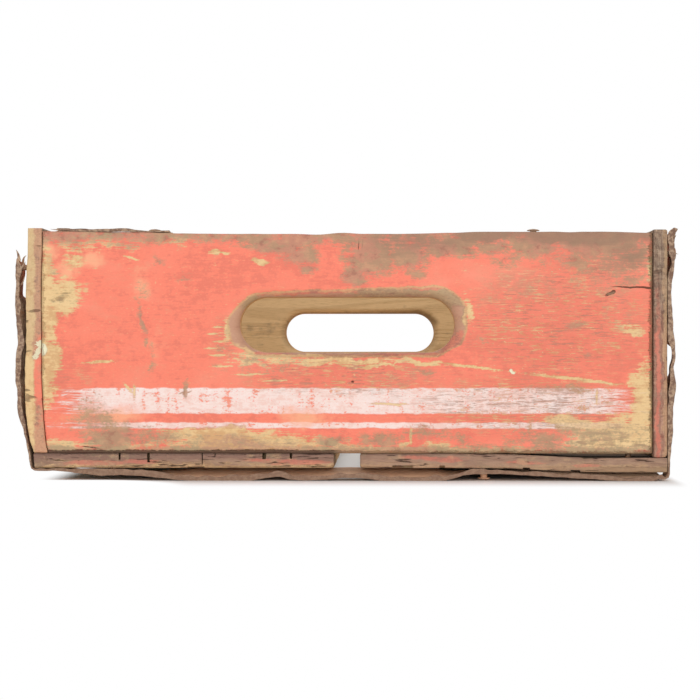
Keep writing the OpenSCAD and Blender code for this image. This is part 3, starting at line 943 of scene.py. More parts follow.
@dataclass(frozen=True)
class PaintedFinish:
    """Yellow undercoat, red field and white stripes on a board that has seen years of use.

    Attributes:
        name: The material's name.
        run: The axis that the grain follows.
        half: Distance from the crate's middle to the painted face.
        wear: Where the painted face is worn.
        seed: Picks the noise, so that no two boards match.
        hole: Half length of a hand hole's straight part, its height and its throat's radius.
        bulge: How much further the hole's rounded rim reaches at its ends.
    """

    name: str
    run: Run
    half: float
    wear: FaceWear
    seed: float
    hole: Place | None = None
    bulge: float = 1.6 * MM

    def material(self) -> bpy.types.Material:
        """Builds the finish.

        Returns:
            The material.
        """
        graph = Graph(self.name)
        along_axis, through_axis = self.run.value
        seen = graph.node("TexCoord").outputs["Object"]
        split = graph.node("SeparateXYZ", {0: seen}).outputs
        along, up = split[along_axis], split[2]
        depth = graph.math("SUBTRACT", self.half,
                           graph.math("ABSOLUTE", split[through_axis]))
        texture = Texture.at(graph, graph.node("CombineXYZ", {
            0: graph.math("ADD", along, self.seed),
            1: graph.math("ADD", depth, 0.37 * self.seed), 2: up}).outputs[0])
        flat = graph.node("CombineXYZ", {0: along, 2: up}).outputs[0]
        near = graph.warp(flat, 130, 0.5 * MM)
        loose = graph.warp(near, 60, 3.2 * MM)
        face = graph.rise(depth, 2.0 * MM, 0.9 * MM)

        layer = self.inside(graph, texture, along, up)
        layer = layer.under(graph, WOOD.layer(graph, texture), face)
        layer = self.coats(graph, layer, texture, (along, up), near, loose, face)
        if self.hole:
            layer = self.rim(graph, layer, texture, (along, up, depth))
        else:
            layer = self.board_end(graph, layer, texture, split)
        return layer.surface(graph)

    def inside(self, graph: Graph, texture: Texture, along: Socket, up: Socket) -> Layer:
        """Adds the bare wood of the crate's inside, darker towards its corners and its floor, and a worn rim.

        Args:
            graph: Takes the nodes.
            texture: The board's noises.
            along: Distance along the board.
            up: Height.

        Returns:
            The wood as a layer.
        """
        corner, top = (143, 115.4) if self.hole else (213, 117.9)
        rough = texture.ragged(graph, 0.0, blot=36 * MM, mottle=20 * MM)
        # Darker towards the floor and towards the board's ends, at the inside corners.
        low = graph.rise(graph.math("ADD", up, rough), 44 * MM, 12 * MM)
        beside = graph.rise(graph.math("ADD", graph.math("ABSOLUTE", along), rough),
                            (corner - 26) * MM, (corner + 4) * MM)
        dirt = Layer(shade(120, 98, 78), 0.92, 0.05)
        layer = INSIDE_WOOD.layer(graph, texture).under(
            graph, dirt, graph.product(graph.highest(low, beside), 0.6))
        worn = graph.rise(graph.math("MULTIPLY_ADD", rough, 0.2, up), (top - 7) * MM,
                          (top - 0.6) * MM)
        return layer.under(graph, GREY_WOOD.layer(graph, texture), graph.product(worn, 0.75))

    def coats(self, graph: Graph, wood: Layer, texture: Texture, where: tuple[Socket, Socket],
              near: Socket, loose: Socket, face: Socket) -> Layer:
        """Adds the paint, its wear, the cracks and the dirt.

        Args:
            graph: Takes the nodes.
            wood: The wood underneath.
            texture: The board's noises.
            where: Distance along the board, and height.
            near: Places on the face, stirred a little.
            loose: Places on the face, stirred a lot.
            face: Where the painted face is.

        Returns:
            The wood with all that lies on it.
        """
        wear = self.wear
        along, up = where
        scarred = graph.rise(draw_patches(graph, loose, wear.scratched), 0.0, 0.6)
        bare = graph.rise(texture.ragged(graph, draw_patches(graph, loose, wear.bare),
                                         streak=1.4, mottle=2.0), 0.25, 0.6)
        layer = wood.under(graph, YELLOW.layer(graph, texture),
                           graph.product(face, graph.math("SUBTRACT", 1, bare)))

        red = RED.layer(graph, texture)
        bleached = graph.rise(texture.ragged(graph, draw_patches(graph, loose, wear.faded),
                                             blot=0.8, mottle=0.9), 0.1, 0.8)
        red.colour = graph.tint(graph.product(bleached, 0.6), red.colour, shade(250, 190, 146))
        red.colour = graph.tint(graph.product(scarred, 0.6), red.colour, shade(234, 126, 102))
        hair = graph.rise(texture.ragged(graph, 0.5, blot=1.2, hair=1.8), 0.58, 0.76)
        flecks = graph.rise(texture.ragged(graph, 0.5, blot=0.8, mottle=1.2, grit=1.2), 0.74,
                            0.86)
        worn = draw_patches(graph, loose, wear.yellow)
        off = graph.highest(
            graph.product(graph.rise(worn, 0.0, 0.18), graph.rise(texture.ragged(
                graph, worn, blot=0.8, streak=1.2, hair=1.0, mottle=0.7, grit=0.5), 0.1, 0.4)),
            graph.product(hair, scarred, 0.75),
            graph.rise(texture.ragged(graph, draw_patches(graph, near, wear.scratches),
                                      hair=1.4, mottle=0.6, grit=1.0), 0.2, 0.6),
            graph.product(flecks, graph.blend(scarred, 0.05, 0.75)),
        )
        layer = layer.under(graph, red, graph.product(face, graph.math("SUBTRACT", 1, off)))

        combs = graph.noise(graph.stretch(texture.place, (330, 60, 28)), detail=3)
        rubbed = graph.rise(graph.math("MULTIPLY_ADD", combs, 0.8, texture.ragged(
            graph, 0.06, blot=1.3, streak=0.6, mottle=0.9, grit=1.1)), 0.52, 0.8)
        kept = graph.math("SUBTRACT", 1, graph.highest(graph.product(rubbed, 0.9),
                                                       graph.product(off, 0.85),
                                                       graph.product(bleached, 0.6)))
        layer = layer.under(graph, WHITE.layer(graph, texture), graph.product(
            face, self.stripes(graph, texture, near, along), kept))

        layer = self.marks(graph, layer, near, face)
        edges = [graph.product(graph.rise(up, start * MM, full * MM), share)
                 for start, full, share in wear.bands]
        strength = graph.highest(graph.product(draw_patches(graph, loose, wear.grime), 1.5),
                                 *edges)
        lying = graph.product(graph.rise(strength, 0.0, 0.2), graph.rise(texture.ragged(
            graph, strength, blot=1.9, streak=1.2, mottle=1.2, grit=0.9), 0.14, 0.8))
        thin = graph.rise(texture.ragged(graph, 0.5, blot=1.3, streak=1.0, hair=1.3), 0.42,
                          0.24)
        smear = graph.product(graph.rise(texture.ragged(
            graph, texture.clouds, blot=0.9, streak=0.5, mottle=0.8), 0.48, 0.8),
            graph.blend(scarred, 0.1, 0.6))
        soot = graph.rise(texture.ragged(graph, draw_patches(graph, loose, wear.soot),
                                         blot=0.5, mottle=0.5, streak=0.4), 0.04, 0.5)
        mask = graph.product(face, graph.highest(
            graph.product(lying, graph.blend(scarred, 0.85, 0.75)),
            graph.product(thin, scarred, 0.7), smear, graph.product(soot, 0.85)))
        dirt = DIRT.layer(graph, texture)
        dirt.colour = graph.tint(graph.product(scarred, 0.4), dirt.colour,
                                 shade(170, 122, 102))
        dirt.colour = graph.tint(graph.product(soot, 0.8), dirt.colour, shade(132, 122, 101))
        layer = layer.under(graph, dirt, mask)
        chips = graph.product(graph.rise(texture.grit, 0.7, 0.76), scarred, face, 0.8)
        layer = layer.under(graph, Layer(shade(244, 226, 178), 0.8, 0.1), chips)
        if self.hole:
            layer = self.board_edge(graph, layer, texture, where)
        return layer

    def board_edge(self, graph: Graph, layer: Layer, texture: Texture,
                   where: tuple[Socket, Socket]) -> Layer:
        """Adds painted shade along an end board's foot and sides, where it meets the bottom and side boards, and a
        darker painted shadow line under its foot on the left half.
        """
        along, up = where
        rough = texture.ragged(graph, 0.0, blot=4 * MM, mottle=3 * MM, grit=3 * MM)
        # Painted shade: the foot and both sides darken where the board meets the bottom and side boards.
        foot = graph.rise(graph.math("ADD", up, rough), 14.5 * MM, 13.2 * MM)
        # Painted shadow: a dark line under the foot on the left half.
        seam_shadow = graph.product(graph.rise(graph.math("MULTIPLY_ADD", rough, 0.4, up),
                                        14.7 * MM, 14.0 * MM),
                             graph.rise(along, 0.0, -8 * MM))
        right = graph.rise(graph.math("ADD", along, rough), 141.0 * MM, 142.3 * MM)
        left = graph.rise(graph.math("ADD", along, rough), -142.2 * MM, -142.9 * MM)
        layer = layer.under(graph, Layer(shade(116, 88, 62), 0.95, -0.4), graph.product(
            graph.highest(graph.product(foot, 0.8), right, graph.product(left, 0.45)), 0.8))
        return layer.under(graph, Layer(shade(84, 62, 50), 0.95, -0.8),
                           graph.product(seam_shadow, 0.85))

    def stripes(self, graph: Graph, texture: Texture, place: Socket, along: Socket) -> Socket:
        """Adds the white stripes' outline, as a mask of 0 to 1, with brushed-out ends."""
        up = graph.node("SeparateXYZ", {0: place}).outputs[2]
        bands = []
        for middle, half_h in self.wear.stripes:
            away = graph.math("ABSOLUTE", graph.math("SUBTRACT", up, middle * MM))
            bands.append(graph.rise(away, (half_h + 0.3) * MM, (half_h - 0.4) * MM))
        away = graph.math("ABSOLUTE", along)
        inside = graph.rise(away, (self.wear.half_l + 2) * MM, (self.wear.half_l - 34) * MM)
        return graph.product(graph.highest(*bands), graph.rise(
            texture.ragged(graph, inside, streak=2.2, hair=1.6, blot=0.8), 0.0, 0.56))

    def marks(self, graph: Graph, layer: Layer, near: Socket, face: Socket) -> Layer:
        """Adds chips of filler, and the cracks and knots of the wood."""
        chip = Layer(shade(240, 234, 200), 0.8, 0.5)
        chips = graph.rise(draw_patches(graph, near, self.wear.chalk), 0.15, 0.35)
        layer = layer.under(graph, chip, graph.product(face, chips))
        split = Layer(shade(88, 60, 42), 0.95, -0.9)
        splits = graph.rise(draw_patches(graph, near, self.wear.cracks), 0.1, 0.55)
        return layer.under(graph, split, graph.product(face, splits, 0.9))

    def rim(self, graph: Graph, layer: Layer, texture: Texture,
            where: tuple[Socket, Socket, Socket]) -> Layer:
        """Adds the routed hand hole's own finish: worn paint on its rounded rim, bare
        wood in its throat, and a ring darkened by hands inside, deepened at the top as painted shade.

        Args:
            graph: Takes the nodes.
            layer: What lies on the board.
            texture: The board's noises.
            where: Distance along, height, and distance in from the painted face.

        Returns:
            The board with the hole's finish.
        """
        along, up, depth = where
        half, middle, throat = self.hole
        beside = graph.math("MAXIMUM", graph.math(
            "SUBTRACT", graph.math("ABSOLUTE", along), half), 0.0)
        over = graph.math("SUBTRACT", up, middle)
        away = graph.math("SQRT", graph.math("ADD", graph.product(beside, beside),
                                             graph.product(over, over)))
        rough = texture.ragged(graph, 0.4 * MM, blot=2.6 * MM, mottle=2.0 * MM)
        narrow = graph.math("MULTIPLY_ADD", graph.math("DIVIDE", beside, away), -self.bulge,
                            self.bulge)
        ragged = graph.math("ADD", graph.math("ADD", away, narrow), rough)
        top = graph.rise(over, 2 * MM, 9 * MM)
        ragged = graph.math("MULTIPLY_ADD", graph.math("MULTIPLY_ADD", along, -0.036, 0.2 * MM),
                            top, ragged)
        ragged = graph.math("MULTIPLY_ADD", graph.rise(over, -9 * MM, -12 * MM), 1.9 * MM,
                            ragged)
        line = graph.product(graph.rise(ragged, throat + 6.6 * MM, throat + 5.8 * MM),
                             graph.rise(depth, 4 * MM, 2 * MM), 0.85)
        layer = layer.under(graph, OCHRE.layer(graph, texture), line)
        coat = RIM_RED.layer(graph, texture)
        flat = graph.warp(graph.node("CombineXYZ", {0: along, 2: up}).outputs[0], 160,
                          1.2 * MM)
        for paint, patches, share in ((OLIVE, self.wear.rim_olive, 0.9),
                                      (OLD_RED, self.wear.rim_red, 0.8),
                                      (YELLOW, self.wear.rim_yellow, 0.85)):
            mask = graph.rise(texture.ragged(graph, draw_patches(graph, flat, patches),
                                             blot=0.5, streak=0.4, mottle=0.9), 0.08, 0.4)
            coat = coat.under(graph, paint.layer(graph, texture), graph.product(mask, share))
        band = graph.rise(ragged, throat + 5.9 * MM, throat + 4.7 * MM)
        layer = layer.under(graph, coat, graph.product(
            band, graph.rise(depth, 7 * MM, 4.4 * MM), 0.95))
        inside = graph.product(graph.rise(away, throat + 0.9 * MM, throat + 0.3 * MM),
                               graph.rise(graph.math("MULTIPLY_ADD", texture.blots, 3 * MM,
                                                     depth), 6.2 * MM, 7.0 * MM))
        layer = layer.under(graph, THROAT_WOOD.layer(graph, texture), inside)
        # Hand grime round the inner rounding, made stronger at the top as painted shade, where the rounding faces
        # down.
        handled_and_shaded = graph.product(
            graph.rise(graph.math("ADD", ragged, rough), throat + 5.6 * MM, throat + 1 * MM),
            graph.rise(depth, 10 * MM, 13.5 * MM), graph.blend(top, 0.35, 0.85))
        layer = layer.under(graph, Layer(shade(134, 110, 78), 0.7, 0.0), handled_and_shaded)
        if not self.wear.drips:
            return layer
        spot = graph.node("CombineXYZ", {0: along, 2: graph.math("ADD", depth, up)}).outputs[0]
        run = graph.product(graph.rise(draw_patches(graph, spot, self.wear.drips), 0.05, 0.3),
                            graph.rise(depth, 1.5 * MM, 3 * MM))
        return layer.under(graph, OLD_RED.layer(graph, texture), graph.product(run, 0.8))

    def board_end(self, graph: Graph, layer: Layer, texture: Texture,
                  split: list[Socket]) -> Layer:
        """Adds the finish of a side board's end grain.

        Args:
            graph: Takes the nodes.
            layer: What lies on the board.
            texture: The board's noises.
            split: The point's X, Y and Z.

        Returns:
            The board with its ends and edges.
        """
        end = graph.rise(graph.math("ABSOLUTE", split[1]), 230.6 * MM, 231.3 * MM)
        through = graph.math("SUBTRACT", self.half, graph.math("ABSOLUTE", split[0]))
        cross = graph.stretch(texture.place, (260, 1500, 330))
        pores = graph.noise(cross, detail=4, roughness=0.7)
        ragged = graph.math("MULTIPLY_ADD", graph.math("SUBTRACT", texture.blots, 0.5),
                            7 * MM, through)
        grey = GREY_WOOD.layer(graph, texture)
        grey.colour = graph.tint(graph.product(graph.rise(pores, 0.46, 0.62), 0.6),
                                 grey.colour, shade(182, 158, 136))
        grey.colour = graph.tint(graph.product(graph.rise(pores, 0.46, 0.34), 0.8),
                                 grey.colour, shade(108, 84, 70))
        layer = layer.under(graph, grey, end)
        up = graph.math("MULTIPLY_ADD", graph.math("SUBTRACT", texture.blots, 0.5), 70 * MM,
                        split[2])
        if self.wear is LEFT_WEAR:
            upper = graph.rise(up, 52 * MM, 74 * MM)
            tan = WARM.layer(graph, texture)
            inner = RED.layer(graph, texture)
            inner.colour = graph.tint(upper, inner.colour, tan.colour)
            inner.colour = graph.tint(graph.rise(up, 44 * MM, 26 * MM), inner.colour,
                                      tan.colour)
            layer = layer.under(graph, inner, graph.product(
                end, graph.rise(ragged, 2.4 * MM, 3.4 * MM), graph.blend(upper, 0.92, 0.72)))
            layer = layer.under(graph, YELLOW.layer(graph, texture), graph.product(
                end, graph.rise(ragged, 3.8 * MM, 2.4 * MM),
                graph.blend(upper, 0.95, 0.7)))
            spot = graph.warp(graph.node("CombineXYZ", {0: split[0], 2: split[2]}).outputs[0],
                              250, 0.9 * MM)
            chip = graph.highest(Patch(-144.4, 64, 3, 2.6, 20).draw(graph, spot),
                                 Patch(-145.6, 60.4, 2, 5.4, -24).draw(graph, spot))
            chalk = graph.product(graph.rise(chip, 0.0, 0.2), graph.rise(texture.ragged(
                graph, chip, mottle=1.4, grit=1.4), 0.24, 0.44))
            layer = layer.under(graph, Layer(shade(230, 224, 190), 0.85, 0.4),
                                graph.product(end, chalk, 0.9))
        else:
            low = graph.rise(up, 96 * MM, 66 * MM)
            grain = graph.rise(graph.noise(graph.stretch(texture.place, (90, 1300, 70)),
                                           detail=3), 0.42, 0.6)
            layer = layer.under(graph, Layer(shade(112, 88, 74), 0.9, -0.1),
                                graph.product(end, grain, 0.5))
            inner = graph.math("MAXIMUM", graph.rise(graph.math(
                "ABSOLUTE", graph.math("SUBTRACT", ragged, 4.6 * MM)), 1.5 * MM, 0.5 * MM), 0.3)
            layer = layer.under(graph, OLD_RED.layer(graph, texture),
                                graph.product(end, low, inner, 0.8))
            outer = graph.rise(ragged, 2.6 * MM, 1.6 * MM)
            layer = layer.under(graph, OCHRE.layer(graph, texture),
                                graph.product(end, outer, 0.4))
        lines = graph.rise(graph.noise(graph.stretch(texture.place, (60, 60, 210)), detail=2),
                           0.66, 0.7)
        if self.wear is not LEFT_WEAR:
            # Painted shadow: a dark line along the right board's end, in the seam where it meets the end board.
            seam_shadow = graph.rise(graph.math("MULTIPLY_ADD", texture.grit, 1.4 * MM, through),
                              6.9 * MM, 7.4 * MM)
            lines = graph.highest(lines, seam_shadow)
        # This dark layer draws the grain's lines and, on the right board, the painted shadow in the seam.
        return layer.under(graph, Layer(shade(86, 60, 46), 0.95, -0.6),
                           graph.product(end, lines, 0.6))


@dataclass(frozen=True)
class BottomFinish:
    """Bare bottom boards, whose lower faces and edges caught some paint, with painted shade along their ends' edges
    and a painted shadow just inside the front end.

    Attributes:
        name: The material's name.
        half: Distance from the crate's middle to a board's end.
        low: Height of the boards' lower face.
        high: Height of their upper face.
        reds: Where their ends caught red paint.
    """

    name: str
    half: float
    low: float
    high: float
    reds: tuple[Patch, ...] = (
        Patch(-118, 8.4, 22, 2.2), Patch(-96, 9, 16, 1.8), Patch(-24, 8.6, 26, 2),
        Patch(-40, 9.6, 14, 1.3), Patch(46, 10.4, 16, 2.2), Patch(32, 11.4, 10, 1.6),
        Patch(82, 8.6, 14, 1.3), Patch(112, 7.4, 10, 1.2),
    )

    def material(self) -> bpy.types.Material:
        """Builds the finish.

        Returns:
            The material.
        """
        graph = Graph(self.name)
        seen = graph.node("TexCoord").outputs["Object"]
        x, y, z = graph.node("SeparateXYZ", {0: seen}).outputs
        texture = Texture.at(graph, graph.node("CombineXYZ", {0: y, 1: z, 2: x}).outputs[0])
        layer = INSIDE_WOOD.layer(graph, texture)
        height = graph.node("MapRange", {"Value": z, "From Min": self.low,
                                         "From Max": self.high}).outputs[0]

        under = graph.rise(z, self.low + 1.0 * MM, self.low + 0.2 * MM)
        layer = layer.under(graph, YELLOW.layer(graph, texture), graph.product(
            under, graph.rise(texture.ragged(graph, 0.5, blot=1.0, streak=0.5), 0.42, 0.56)))

        end = graph.rise(graph.math("ABSOLUTE", y), self.half - 1.6 * MM, self.half - 0.8 * MM)
        face = Texture.at(graph, graph.node("CombineXYZ", {0: x, 1: y, 2: z}).outputs[0])
        ragged = face.ragged(graph, height, blot=1.0, streak=1.1, mottle=0.5)
        bare = GREY_WOOD.layer(graph, face)
        left = graph.rise(x, 5 * MM, -5 * MM)
        bare.colour = graph.tint(0.55, bare.colour, shade(172, 134, 112))
        mauve = graph.product(graph.rise(ragged, 0.36, 0.66), graph.blend(left, 0.3, 0.85))
        bare.colour = graph.tint(mauve, bare.colour, shade(142, 110, 96))
        bare.colour = graph.tint(graph.product(graph.rise(face.streaks, 0.47, 0.36), 0.6),
                                 bare.colour, shade(116, 86, 74))
        layer = layer.under(graph, bare, end)
        layer = layer.under(graph, OCHRE.layer(graph, face), graph.product(
            end, graph.rise(ragged, 0.42, 0.12), graph.blend(left, 0.4, 0.85)))
        spot = graph.warp(graph.node("CombineXYZ", {0: x, 2: z}).outputs[0], 120, 0.5 * MM)
        blotch = face.ragged(graph, draw_patches(graph, spot, self.reds), blot=0.5, streak=1.2,
                             mottle=0.8)
        layer = layer.under(graph, OLD_RED.layer(graph, face), graph.product(
            end, graph.rise(blotch, 0.24, 0.6), 0.6))
        lying = graph.rise(face.ragged(graph, 0.5, blot=1.2, mottle=1.0), 0.5, 0.76)
        layer = layer.under(graph, DIRT.layer(graph, face), graph.product(end, lying, 0.7))
        splits = graph.product(end, graph.rise(face.ragged(
            graph, 0.5, blot=0.3, streak=1.2, hair=0.8), 0.33, 0.26), 0.8)
        # Painted shade: dark lines along the top and bottom edges of the boards' ends, where they meet the end board
        # above and the strap below. The same dark layer also draws real splits.
        brink = face.ragged(graph, z, streak=2.4 * MM, grit=1.6 * MM)
        seam_shade = graph.highest(graph.product(graph.rise(brink, 11.9 * MM, 12.6 * MM), 0.4),
                             graph.product(graph.rise(brink, 7.0 * MM, 6.2 * MM),
                                           graph.rise(face.clouds, 0.42, 0.56), 0.3))
        layer = layer.under(graph, Layer(shade(78, 54, 44), 0.95, -0.8), graph.highest(
            splits, graph.product(end, seam_shade, 0.8)))

        # Darker towards the inside corners and in random blots.
        rough = texture.ragged(graph, 0.0, blot=40 * MM, mottle=24 * MM)
        corner = graph.highest(
            graph.rise(graph.math("ADD", graph.math("ABSOLUTE", y), rough), 176 * MM, 212 * MM),
            graph.rise(graph.math("ADD", graph.math("ABSOLUTE", x), rough), 118 * MM, 146 * MM),
            graph.product(graph.rise(texture.blots, 0.5, 0.7), 0.5))
        # Painted shadow: the upper face just inside the front end, on the right, is made dark where the gap under the
        # end board lies in shade.
        deep = graph.product(graph.rise(y, -184 * MM, -200 * MM),
                             graph.rise(x, 40 * MM, 70 * MM), 0.9)
        within = graph.math("SUBTRACT", 1, end)
        layer = layer.under(graph, Layer(shade(124, 102, 82), 0.92, 0.1),
                            graph.product(within, corner, 0.62))
        layer = layer.under(graph, Layer(shade(64, 50, 40), 0.95, 0.1),
                            graph.product(within, deep))
        return layer.surface(graph)


@dataclass(frozen=True)
class RustFinish:
    """Old steel, rusted through its scale.

    Attributes:
        name: The material's name.
        scale: Colour of the dry scale.
        dark: Colour of the pits.
        fresh: Colour of the loose rust.
        dust: Colour of what has settled on it.
        edge: Distance from the crate's middle past which the steel is rubbed pale.
        relief: How rough the scale is, in millimetres.
    """

    name: str
    scale: tuple = shade(192, 166, 140)
    dark: tuple = shade(142, 112, 92)
    fresh: tuple = shade(180, 130, 100)
    dust: tuple = shade(198, 174, 144)
    edge: float = 230.9 * MM
    relief: float = 0.3

    def material(self) -> bpy.types.Material:
        """Builds the finish.

        Returns:
            The material.
        """
        graph = Graph(self.name)
        seen = graph.node("TexCoord").outputs["Object"]
        wide = graph.noise(seen, 75, 4, 0.65, 0.5)
        pits = graph.noise(seen, 480, 4, 0.7)
        flakes = graph.noise(graph.stretch(seen, (1, 0.35, 1)), 210, 3, 0.6, 0.8)
        colour = graph.tint(graph.rise(wide, 0.38, 0.54), self.dark, self.scale)
        colour = graph.tint(graph.product(graph.rise(flakes, 0.54, 0.66), 0.7), colour,
                            self.fresh)
        colour = graph.tint(graph.product(graph.rise(pits, 0.5, 0.66), 0.6), colour, self.dust)
        colour = graph.tint(graph.product(graph.rise(pits, 0.44, 0.34), 0.75), colour,
                            shade(98, 72, 58))
        _, y, z = graph.node("SeparateXYZ", {0: seen}).outputs
        # Painted light: below 7 mm, where the straps run under the crate, the steel is tinted pale to make up for the
        # shade that falls there.
        low = graph.rise(z, 7 * MM, 5.4 * MM)
        colour = graph.tint(graph.product(low, 0.9), colour, shade(244, 198, 162))
        rubbed = graph.rise(graph.math("ABSOLUTE", y), self.edge - 0.6 * MM, self.edge)
        edge = graph.tint(graph.rise(pits, 0.44, 0.58), shade(122, 94, 78),
                          shade(172, 144, 120))
        # Near the floor the rubbed edge is darker.
        edge = graph.tint(graph.product(low, 0.65), edge, shade(122, 94, 78))
        colour = graph.tint(graph.product(rubbed, 0.9), colour, edge)
        height = graph.math("ADD", graph.product(pits, self.relief),
                            graph.product(flakes, 0.6 * self.relief))
        return Layer(colour, graph.blend(wide, 0.9, 0.68), height).surface(graph, 0.3, 0.05)


@dataclass(frozen=True)
class Notch:
    """A slot or a missing flake in the end of a bottom board, in millimetres.

    Attributes:
        across: Where its middle is.
        width: How wide it is.
        floor: Height of its far face over the crate's floor.
        reach: How far it goes into the board.
        from_top: Whether it is open upwards.
    """

    across: float
    width: float
    floor: float
    reach: float
    from_top: bool = True


@dataclass
class Plank:
    """A worn board, as a lattice over its six faces.

    Attributes:
        node: The node that it stands for.
        slot: The name of its material slot; here it only tells the bottom boards from the others.
        finish: Its material.
        steps: Spacing of the lattice along X, Y and Z.
        seed: Picks its wear.
        edge: Usual radius of its edges.
        chip: How deep a missing flake may be.
        notches: Slots in its front end.
        near: Distances of the lattice's first lines from each edge, in millimetres.
    """

    node: str
    slot: str
    finish: bpy.types.Material
    steps: Place
    seed: float
    edge: float = 0.9 * MM
    chip: float = 2.4 * MM
    notches: tuple[Notch, ...] = ()
    near: tuple[float, ...] = (0, 0.25, 0.6, 1.0, 1.5, 2.2, 3.0)

    def lines(self, axis: int) -> list[float]:
        """Places the lattice's lines along one axis: close by the edges, even between.

        Args:
            axis: 0, 1 or 2 for X, Y or Z.

        Returns:
            The lines' coordinates in order.
        """
        low, high = self.low[axis], self.high[axis]
        half = (high - low) / 2
        inset = [share * MM for share in self.near if share * MM < 0.8 * half]
        count = max(2, round((high - low - 2 * inset[-1]) / self.steps[axis]))
        first, last = low + inset[-1], high - inset[-1]
        places = [low + gap for gap in inset] + [high - gap for gap in inset]
        places += [first + (last - first) * i / count for i in range(1, count)]
        if axis == 0:
            for notch in self.notches:
                for side in (-1, 1):
                    rim = (notch.across + side * notch.width / 2) * MM
                    places += [rim - 0.05 * MM, rim + 0.05 * MM]
        if axis == 1 and self.notches:
            places += [low + (notch.reach + gap) * MM for notch in self.notches
                       for gap in (-0.1, 0.1)]
        return sorted(set(round(place, 7) for place in places))

    def radius(self, point: Vector) -> float:
        """Returns how far a board's edge is worn round near a point, flakes included."""
        wear = 1 + 0.6 * lumps(point, 14 * MM, self.seed) + 0.35 * lumps(point, 4 * MM, self.seed)
        flake = lumps(point, 9 * MM, self.seed + 31)
        return self.edge * max(wear, 0.25) + self.chip * eased(flake, 0.42, 0.75)

    def worn(self, point: Vector) -> Vector:
        """Moves a point of the sharp board to where wear has left it.

        Args:
            point: A point of the lattice, on the sharp board's faces.

        Returns:
            The point on the worn board.
        """
        reach = self.radius(point)
        limit = 0.48 * min(self.high - self.low)
        reach = min(reach, limit)
        core = Vector(min(max(point[i], self.low[i] + reach), self.high[i] - reach)
                      for i in range(3))
        out = (point - core).normalized()
        dent = 0.1 + 0.1 * lumps(point, 30 * MM, self.seed + 5)
        dent += 0.08 * lumps(Vector((point.x, 0.08 * point.y, point.z)), 3 * MM, self.seed + 9)
        return core + out * (reach - max(dent, 0.05) * MM)

    def carved(self, point: Vector) -> Vector:
        """Returns a point moved to the floor of the notch that it lies in, if any."""
        for notch in self.notches:
            inside = abs(point.x - notch.across * MM) < notch.width / 2 * MM
            if inside and point.y < self.low.y + notch.reach * MM:
                floor = notch.floor * MM
                if notch.from_top and point.z > floor or not notch.from_top and point.z < floor:
                    return Vector((point.x, point.y, floor))
        return point

    def settled(self, point: Vector) -> Vector:
        """Returns where a point has gone as the crate racked."""
        moved = point.copy()
        if self.slot == "bare_bottom_wood":
            moved.z -= SETTLING.drop_at(point)
        elif self.low.x > 0:
            foot = eased(point.z, 60 * MM, self.low.z)
            moved.z -= foot * SETTLING.drop_at(Vector((0.147, point.y, 0)))
        if point.x < 0:
            moved.x += SETTLING.lean_at(point)
            if self.high.x < -0.14:
                proud = 1.7 * MM * eased(point.y, -0.1, -0.22)
                proud += 0.9 * MM * eased(point.x, -0.144, -0.15)
                moved.z += proud * eased(point.z, self.high.z - 12 * MM, self.high.z)
                moved.z = min(moved.z, cad_bounds[1].z - 0.02 * MM)
                moved.x -= SETTLING.swell_at(point) * eased(point.x, -0.147, -0.1498)
        return moved

    def build(self) -> bpy.types.Object:
        """Builds the board.

        Returns:
            The board's object.
        """
        self.low, self.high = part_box(self.node)
        grid = [self.lines(axis) for axis in range(3)]
        sizes = [len(lines) for lines in grid]
        shape, known = Shape(), {}

        def corner(i: int, j: int, k: int) -> int:
            """Returns the number of a lattice point, which it adds when it is new."""
            if (i, j, k) not in known:
                known[i, j, k] = len(shape.points)
                point = self.worn(Vector((grid[0][i], grid[1][j], grid[2][k])))
                shape.points.append(self.settled(self.carved(point)))
            return known[i, j, k]

        for axis in range(3):
            first, second = [other for other in range(3) if other != axis]
            for level in (0, sizes[axis] - 1):
                for a in range(sizes[first] - 1):
                    for b in range(sizes[second] - 1):
                        face = []
                        for step in ((0, 0), (1, 0), (1, 1), (0, 1)):
                            index = [0, 0, 0]
                            index[axis] = level
                            index[first], index[second] = a + step[0], b + step[1]
                            face.append(corner(*index))
                        shape.faces.append(tuple(face))
        made = shape.piece("worn_" + self.node, self.slot, self.node)
        made.data.materials.append(self.finish)
        return made


